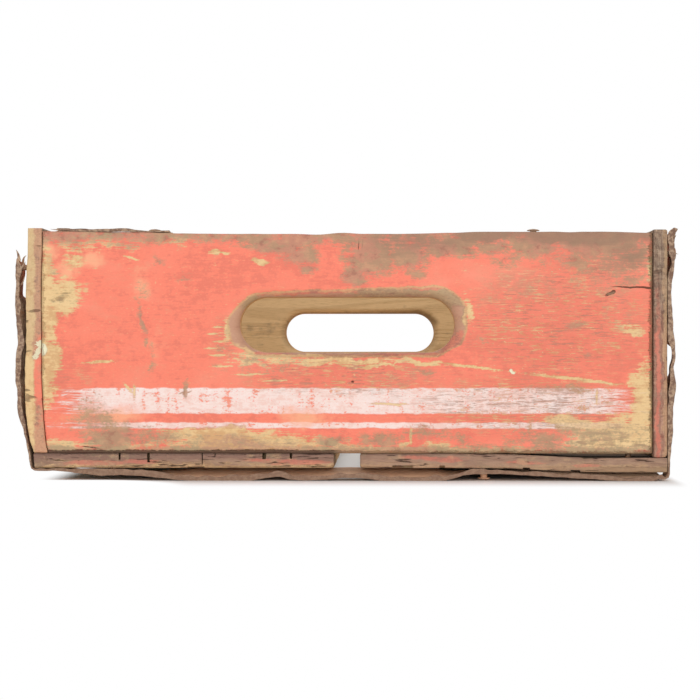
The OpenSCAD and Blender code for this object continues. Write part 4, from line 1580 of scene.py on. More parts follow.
@dataclass
class EndBoard:
    """A thick end board with a routed hand hole, as rings round the hole.

    Attributes:
        end: Which end of the crate it closes.
        finish: Its material.
        seed: Picks its wear.
        half: Half length of the hole's straight part.
        middle: Height of the hole's middle over the floor.
        throat: Radius of the throat's ends.
        routed: Radius routed round the hole on both faces.
        bulge: How much less the rounding reaches above and below the hole.
        edge: Usual radius of the outer edges.
        step: Spacing of the spokes round the outer edge.
        dips: Worn hollows of the top edge: distance across, half width and depth in mm.
    """

    end: End
    finish: bpy.types.Material
    seed: float
    half: float = 37.5 * MM
    middle: float = 73.2 * MM
    throat: float = 13 * MM
    routed: float = 5.5 * MM
    bulge: float = 1.6 * MM
    edge: float = 0.9 * MM
    step: float = 1.9 * MM
    dips: tuple[Place, ...] = ((-88, 4, 0.3), (24, 6, 0.15), (105, 5, 0.2))

    def outline(self) -> list[Vector]:
        """Returns points round the board's sharp outline, as X, depth 0 and Z."""
        low, high = self.low, self.high
        corners = [(low.x, low.z), (high.x, low.z), (high.x, high.z), (low.x, high.z)]
        points = []
        for (x0, z0), (x1, z1) in zip(corners, corners[1:] + corners[:1]):
            count = round(math.hypot(x1 - x0, z1 - z0) / self.step)
            for i in range(count):
                share = i / count
                share += 0.9 * (math.sin(math.tau * share) * -0.5 / math.pi) * 0.5
                points.append(Vector((x0 + (x1 - x0) * share, 0, z0 + (z1 - z0) * share)))
        return points

    def worn_edge(self, point: Vector, face: float) -> float:
        """Returns how far the outer edge is worn round at a point of one face."""
        spot = point + Vector((0, face, 0))
        wear = 1 + 0.6 * lumps(spot, 13 * MM, self.seed) + 0.4 * lumps(spot, 4 * MM, self.seed)
        flake = lumps(spot, 10 * MM, self.seed + 3)
        return self.edge * max(wear, 0.3) + 2.2 * MM * eased(flake, 0.45, 0.8)

    def spoke(self, outer: Vector) -> list[Vector]:
        """Follows the board's surface from one outer point, over the face and through the
        hole to the other face and back.

        Args:
            outer: A point of the sharp outline.

        Returns:
            Points as X, depth in from the painted face, and Z.
        """
        axis = Vector((min(max(outer.x, -self.half), self.half), 0, self.middle))
        out = (outer - axis).normalized()
        thick = self.high.y - self.low.y
        middle = (self.low + self.high) / 2
        size = (self.high - self.low) / 2

        def inset(gap: float, depth: float) -> Vector:
            """Returns the outer point, drawn in by a gap, at a depth."""
            return Vector((middle.x + (outer.x - middle.x) * (1 - gap / size.x), depth,
                           middle.z + (outer.z - middle.z) * (1 - gap / size.z)))

        def hole(radius: float, depth: float) -> Vector:
            """Returns the point of the hole at a radius and a depth."""
            return axis + out * radius + Vector((0, depth, 0))

        def across(start: Vector, stop: Vector, count: int) -> list[Vector]:
            """Returns points between two others, closer together at both ends."""
            shares = [i / count for i in range(1, count)]
            return [start.lerp(stop, s - 0.35 * math.sin(math.tau * s) / math.pi * 0.5)
                    for s in shares]

        points = []
        turns = [math.radians(angle) for angle in (0, 22, 45, 68, 90)]
        front, back = self.worn_edge(outer, 0), self.worn_edge(outer, thick)
        for turn in reversed(turns):
            points.append(inset(front * (1 - math.cos(turn)), front * (1 - math.sin(turn))))
        points.reverse()
        reach = self.routed - self.bulge * (1 - abs(out.x))
        rim = [(self.throat + reach * (1 - math.sin(turn)),
                self.routed * (1 - math.cos(turn)))
               for turn in (math.radians(angle) for angle in (0, 12, 26, 42, 58, 74, 90))]
        points += across(points[-1], hole(*rim[0]), 34)
        points += [hole(radius, depth) for radius, depth in rim]
        throat = thick - 2 * self.routed
        points += [hole(self.throat, self.routed + throat * i / 6) for i in range(1, 6)]
        points += [hole(radius, thick - depth) for radius, depth in reversed(rim)]
        rear = [inset(back * (1 - math.cos(turn)), thick - back * (1 - math.sin(turn)))
                for turn in reversed(turns)]
        points += across(points[-1], rear[0], 26) + rear
        points += [rear[-1].lerp(inset(0, front), i / 7) for i in range(1, 7)]
        return points

    def worn(self, point: Vector) -> Vector:
        """Turns depth into Y, and takes off what wear has.

        Args:
            point: X, depth in from the painted face, and Z.

        Returns:
            The point in the crate's frame.
        """
        sign = self.end.value
        face = self.high.y if sign > 0 else self.low.y
        thick = self.high.y - self.low.y
        x, depth, z = point
        dent = 0.14 + 0.14 * lumps(point, 34 * MM, self.seed + 7)
        dent += 0.07 * lumps(Vector((0.12 * x, depth, z)), 3.2 * MM, self.seed + 8)
        dent = max(dent, 0.02) * MM
        if depth < 0.4 * thick:
            depth += dent * eased(depth, 4 * MM, 1 * MM)
        else:
            depth -= dent * eased(thick - depth, 4 * MM, 1 * MM)
        top = eased(z, self.high.z - 7 * MM, self.high.z)
        sag = 0.12 * MM * (1 + lumps(Vector((x, 0, 0)), 7 * MM, self.seed))
        for at, wide, deep in self.dips:
            sag += deep * MM * math.exp(-((x / MM * -sign - at) / wide) ** 2)
        z += top * (SETTLING.crown_at(Vector((x, sign, 0))) - sag)
        side = eased(abs(x), self.high.x - 5 * MM, self.high.x)
        x -= math.copysign(side * 0.12 * MM, x)
        moved = Vector((x, face - sign * depth, z))
        moved.x += SETTLING.lean_at(moved)
        return moved

    def build(self) -> bpy.types.Object:
        """Builds the board.

        Returns:
            The board's object.
        """
        node = "end_board_" + self.end.name.lower()
        self.low, self.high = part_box(node)
        rows = [[self.worn(point) for point in self.spoke(outer)] for outer in self.outline()]
        shape = Shape()
        shape.rows(rows, ring=True, closed=True)
        made = shape.piece("worn_" + node, "painted_end_wood", node)
        made.data.materials.append(self.finish)
        return made


@dataclass(frozen=True)
class Stop:
    """A place that the strap passes: where, how far off the wood, and how far it runs level.

    Attributes:
        share: Share of the run.
        lift: Distance off the wood, as a share of the buckle.
        level: Length that it runs level, in millimetres.
        nailed: Whether a nail holds it here.
    """

    share: float
    lift: float
    level: float = 0.0
    nailed: bool = False


def nailed(share: float, lift: float) -> Stop:
    """Makes a stop that a nail holds down."""
    return Stop(share, lift, 8.0, True)


FRONT_LEFT = (Stop(0.03, 0), nailed(0.09, 0), Stop(0.24, 0.45), Stop(0.41, 0.95),
              Stop(0.54, 0.8), Stop(0.72, 1), nailed(0.845, 1), Stop(0.9, 0.75))
FRONT_BOTTOM = (Stop(0.012, 0.1), nailed(0.13, 0.22), Stop(0.3, 1, 25), Stop(0.39, 0.66),
                Stop(0.43, 0.92, 6), Stop(0.5, 0.68), Stop(0.61, 1, 20), nailed(0.715, 0.36),
                Stop(0.8, 0.5), Stop(0.955, 1, 12), Stop(0.988, 0.82))
FRONT_RIGHT = (Stop(0.03, 0.06), nailed(0.2, 0.36), Stop(0.35, 0.55), Stop(0.42, 0.38),
               Stop(0.47, 0.6), Stop(0.6, 0.32), Stop(0.77, 0.26), nailed(0.9, 0.48),
               Stop(0.965, 0.35), Stop(1.012, 0.85))
REAR_SIDE = (Stop(0.03, 0), nailed(0.2, 0), Stop(0.5, 0.42), nailed(0.8, 0), Stop(0.96, 0))
REAR_BOTTOM = (Stop(0.012, 0.1), nailed(0.12, 0.3), Stop(0.25, 1, 25), nailed(0.37, 0.35),
               Stop(0.5, 0.5), nailed(0.63, 0.35), Stop(0.75, 1, 25), nailed(0.88, 0.3),
               Stop(0.988, 0.1))
REAR_TAB = ((3.5, 2.5, 0), (8.5, 2.5, 0), (18.5, 0, 0), (30.15, 0, 8), (46.9, 0.78, 0),
            (59, 0, 8), (67, 0, 0))
FRONT_TAB = ((12.73, 2.6, 0), (18.09, 1.56, 0), (24.12, 0.78, 8), (44.22, 1.3, 0), (59, 0, 8),
             (67, 0.52, 0))


@dataclass(frozen=True)
class Step:
    """A point of the strap's way past the wood.

    Attributes:
        x: Distance across.
        z: Height.
        lift: Distance off the wood.
        hold: 1 where a nail or a bend holds the strap still, 0 where it is free.
    """

    x: float
    z: float
    lift: float
    hold: float


@dataclass
class Strap:
    """A thin steel strap that rust and knocks have buckled.

    Attributes:
        name: The node that it stands for.
        end: Which end of the crate it binds.
        finish: Its material.
        seed: Picks its wear.
        half_w: Half the crate's width.
        wood_z: Height of the wood's underside.
        rim_z: Height of the side boards' top.
        end_top: Height of the end boards' top.
        middle: Distance of the strap's middle line from the crate's middle.
        width: Width of the strap.
        thick: Thickness of the strap.
        buckle: Height of its deepest buckles.
        corner: Radius of its bends.
        tear: Depth of a torn end.
        crumple: How far it is crumpled.
        twist: How far its inner edge leans back to the wood, as a share of the lift; its
            outer edge where less than 0.
        lip: How far rust has swollen its outer edge.
        row: Spacing of the rows of its lattice.
        slivers: Frayed slivers: the points of each in millimetres, and its width.
    """

    name: str
    end: End
    finish: bpy.types.Material
    seed: float
    half_w: float = 150 * MM
    wood_z: float = 5.9 * MM
    rim_z: float = 117.9 * MM
    end_top: float = 115.4 * MM
    middle: float = 222.5 * MM
    width: float = 18 * MM
    thick: float = 0.8 * MM
    buckle: float = 5.1 * MM
    corner: float = 1.6 * MM
    tear: float = 6 * MM
    crumple: float = 0.42 * MM
    twist: float = 0.85
    lip: float = 1.8 * MM
    row: float = 1.3 * MM
    slivers: list[tuple[list[Place], float]] = field(default_factory=list)

    def knots(self, stops: tuple[Stop, ...], length: float) -> list[Place]:
        """Spells out a run's stops.

        Args:
            stops: The stops in order.
            length: Length of the run.

        Returns:
            Distance along, lift and hold at both ends of each stop's level length.
        """
        found = []
        for stop in stops:
            for end in ((-0.5, 0.5) if stop.level else (0,)):
                found.append((stop.share * length + end * stop.level * MM,
                              stop.lift * self.buckle, float(stop.nailed)))
        return found

    def eased_way(self, knots: list[Place]) -> list[Place]:
        """Joins knots with eased curves.

        Args:
            knots: Distance along, lift and hold of each.

        Returns:
            The same for many points between them.
        """
        points = []
        for (x0, y0, h0), (x1, y1, h1) in zip(knots, knots[1:]):
            count = max(1, round(abs(x1 - x0) / (1.2 * MM)))
            for i in range(count):
                share = i / count
                curve = (1 - math.cos(math.pi * share)) / 2
                points.append((x0 + (x1 - x0) * share, y0 + (y1 - y0) * curve,
                               h0 + (h1 - h0) * share))
        points.append(knots[-1])
        return points

    def side_way(self, side: Side, stops: tuple[Stop, ...]) -> list[Step]:
        """Returns the way up one side, from the bottom."""
        knots = self.knots(stops, self.rim_z - self.wood_z)
        return [Step(side.value * (self.half_w + lift), self.wood_z + along, lift, hold)
                for along, lift, hold in self.eased_way(knots)]

    def bottom_way(self, stops: tuple[Stop, ...]) -> list[Step]:
        """Returns the way under the crate, from left to right."""
        knots = self.knots(stops, 2 * self.half_w)
        return [Step(along - self.half_w, self.wood_z - lift, lift, hold)
                for along, lift, hold in self.eased_way(knots)]

    def tab_way(self, side: Side, stops: tuple[Place, ...]) -> list[Step]:
        """Returns the way over an end board's top, from the outside in."""
        knots = [((at + end * level) * MM, lift * MM, float(level > 0))
                 for at, lift, level in stops for end in ((-0.5, 0.5) if level else (0,))]
        return [Step(side.value * (self.half_w - along), self.end_top + lift, lift, hold)
                for along, lift, hold in self.eased_way(knots)]

    def bend(self, side: Side, up: int, x: float, z: float) -> list[Step]:
        """Returns the bend between an upright run at x and a level run at z."""
        return [Step(x - side.value * self.corner * (1 - math.cos(turn)),
                     z - up * self.corner * (1 - math.sin(turn)), 0.0, 1.0)
                for turn in (math.radians(15 * k) for k in range(7))]

    def way(self) -> list[Step]:
        """Returns the whole way of the strap that the node's name picks."""
        if self.name == "strap_tab_front":
            return self.tab_way(Side.LEFT, FRONT_TAB)[::-1]
        front = self.end is End.FRONT
        down = self.side_way(Side.LEFT, FRONT_LEFT if front else REAR_SIDE)[::-1]
        under = self.bottom_way(FRONT_BOTTOM if front else REAR_BOTTOM)
        up = self.side_way(Side.RIGHT, FRONT_RIGHT if front else REAR_SIDE)
        way = (down + self.bend(Side.LEFT, -1, down[-1].x, under[0].z) + under
               + self.bend(Side.RIGHT, -1, up[0].x, under[-1].z)[::-1] + up)
        if front:
            return way
        rim = self.end_top + REAR_TAB[0][1] * MM
        return (self.tab_way(Side.LEFT, REAR_TAB)[::-1]
                + self.bend(Side.LEFT, 1, down[0].x, rim)[::-1] + way
                + self.bend(Side.RIGHT, 1, up[-1].x, rim)
                + self.tab_way(Side.RIGHT, REAR_TAB))

    def even(self, way: list[Step]) -> None:
        """Keeps the way with the distance of each of its points from the start.

        Args:
            way: The strap's way.
        """
        self.steps = [way[0]]
        self.reached = [0.0]
        for step in way[1:]:
            gap = math.hypot(step.x - self.steps[-1].x, step.z - self.steps[-1].z)
            if gap > 1e-7:
                self.steps.append(step)
                self.reached.append(self.reached[-1] + gap)

    def at(self, distance: float) -> tuple[Step, Vector]:
        """Finds a point of the way.

        Args:
            distance: Distance along the way.

        Returns:
            The point, and the direction out of the wood there.
        """
        distance = min(max(distance, 0.0), self.reached[-1])
        i = next((k for k in range(1, len(self.reached)) if self.reached[k] >= distance),
                 len(self.reached) - 1)
        a, b = self.steps[i - 1], self.steps[i]
        share = (distance - self.reached[i - 1]) / (self.reached[i] - self.reached[i - 1])
        mixed = [p + (q - p) * share for p, q in
                 zip((a.x, a.z, a.lift, a.hold), (b.x, b.z, b.lift, b.hold))]
        before, after = self.steps[max(i - 2, 0)], self.steps[min(i + 1, len(self.steps) - 1)]
        ahead = Vector((after.x - before.x, 0, after.z - before.z)).normalized()
        return Step(*mixed), Vector((ahead.z, 0, -ahead.x))

    def stroke(self, share: float, last: bool) -> float:
        """Returns how deep a torn end is cut at a share of the strap's width."""
        if self.end is End.REAR:
            return 0.08 * (1 + lumps(Vector((share, 0, 0)), 0.3, self.seed))
        strokes = {("strap_front", False): (1, 0.2, 0.55, 0.75, 0.6, 0.9, 0.7),
                   ("strap_front", True): (0.1, 0.15, 0.9, 0.7, 1, 0.8, 0.95),
                   ("strap_tab_front", True): (0.15, 0.6, 0.35, 0.9, 0.5, 1, 0.8)}.get(
                       (self.name, last), (0.1, 0.2, 0.1, 0.25, 0.15, 0.2, 0.1))
        at = share * (len(strokes) - 1)
        low = min(int(at), len(strokes) - 2)
        cut = strokes[low] + (strokes[low + 1] - strokes[low]) * (at - low)
        return cut + 0.12 * lumps(Vector((share, 0, 0)), 0.05, self.seed)

    def corner_point(self, distance: float, across: float, outer: bool) -> Vector:
        """Places one corner of the crumpled strap.

        Args:
            distance: Distance along the way.
            across: Distance from the middle line, towards the crate's middle when positive.
            outer: Whether the corner is on the face away from the wood.

        Returns:
            The corner's place.
        """
        step, out = self.at(distance)
        spot = Vector((distance, across, self.seed))
        edge = eased(abs(across), 3 * MM, self.width / 2)
        free = 1 - 0.85 * step.hold
        push = self.crumple * lumps(spot, 17 * MM, self.seed)
        push += 0.25 * self.crumple * lumps(spot, 5 * MM, self.seed + 4)
        push += edge * self.crumple * (0.35 + lumps(spot, 21 * MM, self.seed + 2))
        leaning = 0.5 + math.copysign(across / self.width, self.twist * across)
        gape = 0.0
        if self.end is End.FRONT and abs(step.x) > 0.1:
            low, high = (46 * MM, 66 * MM) if step.x > 0 else (83 * MM, 98 * MM)
            gape = eased(step.z, low, low + 5 * MM) * eased(step.z, high, high - 4 * MM)
        push -= (1 - gape) * abs(self.twist) * step.lift * leaning ** 0.8
        push += gape * 1.1 * MM * (0.3 + across / self.width)
        push = max(push * free, -max(step.lift - 0.05 * MM, 0.0))
        thick = self.thick * (1 + 0.3 * lumps(spot, 3 * MM, self.seed + 6)
                              + 0.25 * edge * lumps(spot, 6 * MM, self.seed + 7))
        if not outer:
            lip = self.lip * (1 - 0.4 * gape) * (0.8 + 0.9 * lumps(spot, 6 * MM, self.seed + 8))
            push -= eased(-across, 7.4 * MM, 8.7 * MM) * max(min(
                lip, step.lift + push - 0.1 * MM), 0.0)
        ragged = edge * 0.32 * MM * lumps(Vector((distance, 0, across)), 4 * MM, self.seed + 1)
        y = self.end.value * (self.middle - across - ragged)
        point = Vector((step.x, y, step.z)) + out * (push + (thick if outer else 0.0))
        point.x += SETTLING.strap_lean_at(point)
        if self.name == "strap_tab_front":
            low = self.end_top + SETTLING.crown_at(point) - 0.1 * MM
            point.z = low + 0.75 * (point.z - self.end_top)
        if self.end is End.FRONT and point.x < -self.half_w:
            beside = Vector((-0.15, -0.2319, point.z))
            least = 0.25 * MM + SETTLING.swell_at(beside) - SETTLING.lean_at(beside) + (
                0.85 * MM if outer else 0.0)
            point.x = min(point.x, -self.half_w - least * eased(point.z, 16 * MM, 22 * MM))
        if self.name == "strap_front" and point.z < self.wood_z:
            rim = 0.0 if outer else eased(-across, 7.4 * MM, 8.7 * MM)
            point.z -= follow(point.x / MM, SETTLING.sag) * MM * (1 - 0.85 * rim)
        low, high = cad_bounds
        return Vector(min(max(point[i], low[i] + 0.02 * MM), high[i] - 0.02 * MM)
                      for i in range(3))

    def build(self) -> bpy.types.Object:
        """Builds the strap with its torn ends.

        Returns:
            The strap's object.
        """
        self.even(self.way())
        length = self.reached[-1]
        columns = [-9, -8.8, -8.2, -7.2, -6, -4.6, -3, -1.5, 0, 1.5, 3, 4.6, 6, 7.2, 8.2, 8.8, 9]
        scale = self.width / 18
        margin = self.tear + 2 * MM
        count = round((length - 2 * margin) / self.row)
        rows = []
        for i in range(-6, count + 7):
            inner, outer = [], []
            for column in columns:
                across = column * scale
                share = (column + 9) / 18
                if i < 0:
                    start = self.stroke(share, False) * self.tear
                    at = margin + (start - margin) * -i / 6
                elif i > count:
                    stop = length - self.stroke(share, True) * self.tear
                    at = length - margin + (stop - length + margin) * (i - count) / 6
                else:
                    at = margin + (length - 2 * margin) * i / count
                inner.append(self.corner_point(at, across, False))
                outer.append(self.corner_point(at, across, True))
            rows.append(inner + outer[::-1])
        shape = Shape()
        start = shape.rows(rows, ring=True)
        wide = 2 * len(columns)
        for first in (start, start + wide * (len(rows) - 1)):
            for j in range(len(columns) - 1):
                shape.faces.append((first + j, first + j + 1,
                                    first + wide - 2 - j, first + wide - 1 - j))
        for path, wide_mm in self.slivers:
            self.sliver(shape, [Vector(point) * MM for point in path], wide_mm * MM)
        made = shape.piece("rusted_" + self.name, "rusted_strap", self.name, crease=50)
        made.data.materials.append(self.finish)
        return made

    def sliver(self, shape: Shape, path: list[Vector], width: float) -> None:
        """Adds one frayed sliver of steel.

        Args:
            shape: Takes the sliver.
            path: Points that it passes, from its root to its tip.
            width: Its width at the root.
        """
        fine = []
        for i in range(len(path) - 1):
            before, after = path[max(i - 1, 0)], path[min(i + 2, len(path) - 1)]
            for k in range(4):
                t = k / 4
                a, b = path[i], path[i + 1]
                lean_a, lean_b = (b - before) / 2, (after - a) / 2
                fine.append(a * (2 * t ** 3 - 3 * t * t + 1) + lean_a * (t ** 3 - 2 * t * t + t)
                            + b * (3 * t * t - 2 * t ** 3) + lean_b * (t ** 3 - t * t))
        fine.append(path[-1])
        widths = [max(width * (1 - (i / (len(fine) - 1)) ** 1.6), 0.12 * MM)
                  for i in range(len(fine))]
        shape.tube(fine, widths, Vector((0.2, -1, 0.1)), 0.45)


@dataclass
class NailSet:
    """The nails of one node, each built again with a hammered, rusted head.

    Attributes:
        node: The node that they stand for.
        slot: The name of their material slot; passed on, but not used.
        finish: Their material.
        head_t: Thickness of a head.
        seed: Picks their dents.
    """

    node: str
    slot: str
    finish: bpy.types.Material
    head_t: float
    seed: float
    spokes: int = 18

    def islands(self) -> list[list[Vector]]:
        """Returns the corners of each separate nail of the node."""
        work = bmesh.new()
        work.from_mesh(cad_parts[self.node].data)
        bmesh.ops.remove_doubles(work, verts=work.verts, dist=1e-6)
        found, seen = [], set()
        for start in work.verts:
            if start in seen:
                continue
            seen.add(start)
            waiting, nail = [start], []
            while waiting:
                corner = waiting.pop()
                nail.append(corner.co.copy())
                for edge in corner.link_edges:
                    other = edge.other_vert(corner)
                    if other not in seen:
                        seen.add(other)
                        waiting.append(other)
            found.append(nail)
        work.free()
        return found

    def nail(self, shape: Shape, corners: list[Vector], seed: float) -> None:
        """Adds one nail.

        Args:
            shape: Takes the nail.
            corners: The corners of the nail in the model.
            seed: Picks its dents.
        """
        low = Vector(min(c[i] for c in corners) for i in range(3))
        high = Vector(max(c[i] for c in corners) for i in range(3))
        middle, size = (low + high) / 2, high - low
        axis = max(range(3), key=lambda i: size[i])
        radius = min(size[i] for i in range(3) if i != axis) / 2
        wide = [c[axis] for c in corners if max(
            abs(c[i] - middle[i]) for i in range(3) if i != axis) > 0.9 * radius]
        sign = 1 if sum(wide) / len(wide) > middle[axis] else -1
        out = Vector(sign if i == axis else 0 for i in range(3))
        head = middle.copy()
        head[axis] = high[axis] if sign > 0 else low[axis]
        shank = 0.37 * radius if self.head_t > 0.9 * MM else 0.43 * radius
        length = size[axis]
        first = Vector((0, 1, 0)) if axis != 1 else Vector((1, 0, 0))
        second = out.cross(first)
        t = self.head_t
        profile = [(0.0, 0.02 * t), (0.3, 0.05 * t), (0.6, 0.12 * t), (0.82, 0.28 * t),
                   (0.96, 0.5 * t), (1.0, 0.72 * t), (0.95, 0.96 * t), (0.6, 1.02 * t)]
        rings = [(share * radius, depth) for share, depth in profile]
        rings += [(1.35 * shank, 1.3 * t), (1.5 * shank, 2.2 * t), (1.2 * shank, 5 * t),
                  (shank, 0.5 * length), (shank, length - 3 * shank), (0.2 * shank, length)]
        lean = Vector((lumps(head, 0.01, seed), lumps(head, 0.01, seed + 3), 0)) * 0.12
        rows = []
        for across, depth in rings:
            ring = []
            for k in range(self.spokes):
                turn = math.tau * k / self.spokes
                way = first * math.cos(turn) + second * math.sin(turn)
                rough = 1 + 0.09 * lumps(way * 0.01, 0.006, seed) if depth < 1.1 * t else 1
                dent = 0.12 * t * (1 + lumps(head + way * across, 1.6 * MM, seed + 1))
                dent *= depth < 0.6 * t
                tip = across / radius * t * 0.35 * (1 + math.cos(turn) * lean.x * 8) * (
                    depth < t)
                ring.append(head - out * (depth + dent + tip * 0.3)
                            + way * min(across * rough, radius * 1.02))
            rows.append(ring)
        start = shape.rows(rows, ring=True)
        last = start + self.spokes * (len(rows) - 1)
        shape.faces.append(tuple(range(last, last + self.spokes)))

    def build(self) -> bpy.types.Object:
        """Builds the nails.

        Returns:
            The nails as one object.
        """
        shape = Shape()
        for i, corners in enumerate(self.islands()):
            self.nail(shape, corners, self.seed + 2.3 * i)
        top = cad_bounds[1].z - 0.02 * MM
        lifted = self.node in ("tab_nails_front_left", "orphan_nail_front")
        if "bottom" not in self.node:
            for i, point in enumerate(shape.points):
                rise = SETTLING.crown_at(point) if lifted else 0.0
                x = max(point.x + SETTLING.lean_at(point), cad_bounds[0].x + 0.02 * MM)
                shape.points[i] = Vector((x, point.y, min(point.z + rise, top)))
        made = shape.piece("rusty_" + self.node, self.slot, self.node)
        made.data.materials.append(self.finish)
        return made


@dataclass
class Boards:
    """The six boards of the crate."""

    def build(self) -> None:
        """Builds the boards and dresses them."""
        hole = (37.5 * MM, 73.2 * MM, 13 * MM)
        for end, wear, seed in ((End.FRONT, FRONT_WEAR, 0.0), (End.REAR, REAR_WEAR, 3.4)):
            finish = PaintedFinish("painted_end_" + end.name.lower(), Run.ACROSS, 232 * MM,
                                   wear, seed, hole)
            EndBoard(end, finish.material(), 11 + seed).build()
        for side, wear, seed in ((Side.LEFT, LEFT_WEAR, 5.2), (Side.RIGHT, RIGHT_WEAR, 7.9)):
            finish = PaintedFinish("painted_side_" + side.name.lower(), Run.ALONG, 150 * MM,
                                   wear, seed)
            Plank("side_board_" + side.name.lower(), "painted_side_wood", finish.material(),
                  (2.4 * MM, 2.6 * MM, 2.6 * MM), 17 + seed).build()
        bare = BottomFinish("bare_bottom", 232 * MM, 5.9 * MM, 12.9 * MM).material()
        left = (Notch(-106.9, 0.9, 9.8, 9), Notch(-93.3, 1.3, 8.6, 8), Notch(-68, 0.45, 7.6, 14),
                Notch(-38.9, 1.8, 10.2, 10), Notch(-26.3, 1.2, 10.4, 10),
                Notch(-62, 0.4, 11.4, 8), Notch(-71, 8, 6.7, 5, False))
        right = (Notch(26, 9.6, 7.3, 5, False), Notch(44.6, 2.6, 7.3, 6, False),
                 Notch(84, 3.2, 6.9, 5, False), Notch(107, 4.4, 6.8, 4, False))
        for side, notches in ((Side.LEFT, left), (Side.RIGHT, right)):
            Plank("bottom_board_" + side.name.lower(), "bare_bottom_wood", bare,
                  (3 * MM, 3.4 * MM, 1.1 * MM), 40 + side.value, notches=notches).build()


@dataclass
class Straps:
    """The steel straps at both ends."""

    def build(self) -> None:
        """Builds the straps and dresses them."""
        finish = RustFinish("rusted_strap").material()
        y = -222.5
        main = Strap("strap_front", End.FRONT, finish, 2.0, slivers=[
            ([(-154.6, y - 7, 103.5), (-154.9, y - 8, 106.4), (-155.8, y - 8.4, 108.6)], 1.6),
            ([(-153.8, y - 2, 102), (-153.2, y - 3, 104.8), (-151.9, y - 3.4, 106.2)], 1.3),
            ([(-154.0, y - 8.5, 98), (-152.6, y - 8.9, 101), (-151.2, y - 8.7, 103)], 0.9),
            ([(-153.4, y - 8.4, 92), (-152.3, y - 8.8, 94), (-151.4, y - 8.8, 97.4)], 0.8),
            ([(152.8, y - 6, 111), (153.4, y - 7, 115), (154.3, y - 7.4, 118.2)], 1.4),
            ([(152.6, y - 1, 110), (153.8, y - 2, 113.5), (154.9, y - 2.6, 115.6)], 1.2),
            ([(152.3, y - 8, 108), (152.2, y - 8.6, 112), (151.4, y - 8.8, 115.6)], 1.0),
            ([(152.8, y + 4, 108), (154.0, y + 4.4, 111), (155.0, y + 4.2, 112.4)], 1.0),
            ([(152.6, y - 7, 106.2), (153.9, y - 7.8, 106.6), (155.1, y - 8, 106.2)], 0.8),
        ])
        main.build()
        tab = Strap("strap_tab_front", End.FRONT, finish, 8.0, twist=0.0, slivers=[
            ([(-131, y - 7, 116.9), (-135, y - 7.6, 117.8), (-139.6, y - 8, 118.3)], 1.1),
            ([(-130, y - 4, 116.8), (-133.4, y - 5, 118.2), (-134.6, y - 6, 116.8),
              (-131.6, y - 7.6, 116.2)], 0.8),
            ([(-128, y - 8, 116.6), (-131, y - 8.7, 117.6), (-132.2, y - 8.8, 116.2)], 0.7),
            ([(-126, y - 8.2, 116.5), (-128.6, y - 8.8, 117.3), (-129.2, y - 8.8, 115.9)], 0.6),
            ([(-132, y + 3, 117.2), (-136, y + 3.4, 118.2), (-140, y + 3, 117.6)], 1.0),
        ])
        tab.build()
        Strap("strap_rear", End.REAR, finish, 5.0).build()


@dataclass
class Nails:
    """Every nail of the crate."""

    def build(self) -> None:
        """Builds the nails and dresses them."""
        board = RustFinish("board_nail_rust", shade(132, 100, 78), shade(84, 62, 50),
                           shade(164, 104, 70), shade(170, 148, 122), 0.25).material()
        strap = RustFinish("strap_nail_rust", shade(176, 146, 122), shade(132, 104, 86),
                           shade(184, 128, 94), shade(200, 176, 150), 0.25).material()
        for i, node in enumerate(sorted(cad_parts)):
            if "nail" not in node:
                continue
            in_board = node.startswith(("side_nails", "bottom_nails"))
            NailSet(node, "board_nails" if in_board else "strap_nails",
                    board if in_board else strap, 0.8 * MM if in_board else 1.0 * MM,
                    3.1 * i).build()


@dataclass(frozen=True)
class Lamp:
    """A soft lamp.

    Attributes:
        name: Its name.
        place: Where it hangs.
        aim: What it points at.
        size: Width of its square face.
        watts: Its power.
    """

    name: str
    place: Place
    aim: Place
    size: float
    watts: float

    def build(self) -> None:
        """Hangs the lamp."""
        data = bpy.data.lights.new(self.name, "AREA")
        data.shape, data.size, data.energy = "SQUARE", self.size, self.watts
        made = bpy.data.objects.new(self.name, data)
        made.location = self.place
        aim = Vector(self.aim) - Vector(self.place)
        made.rotation_euler = aim.to_track_quat("-Z", "Y").to_euler()
        bpy.context.scene.collection.objects.link(made)


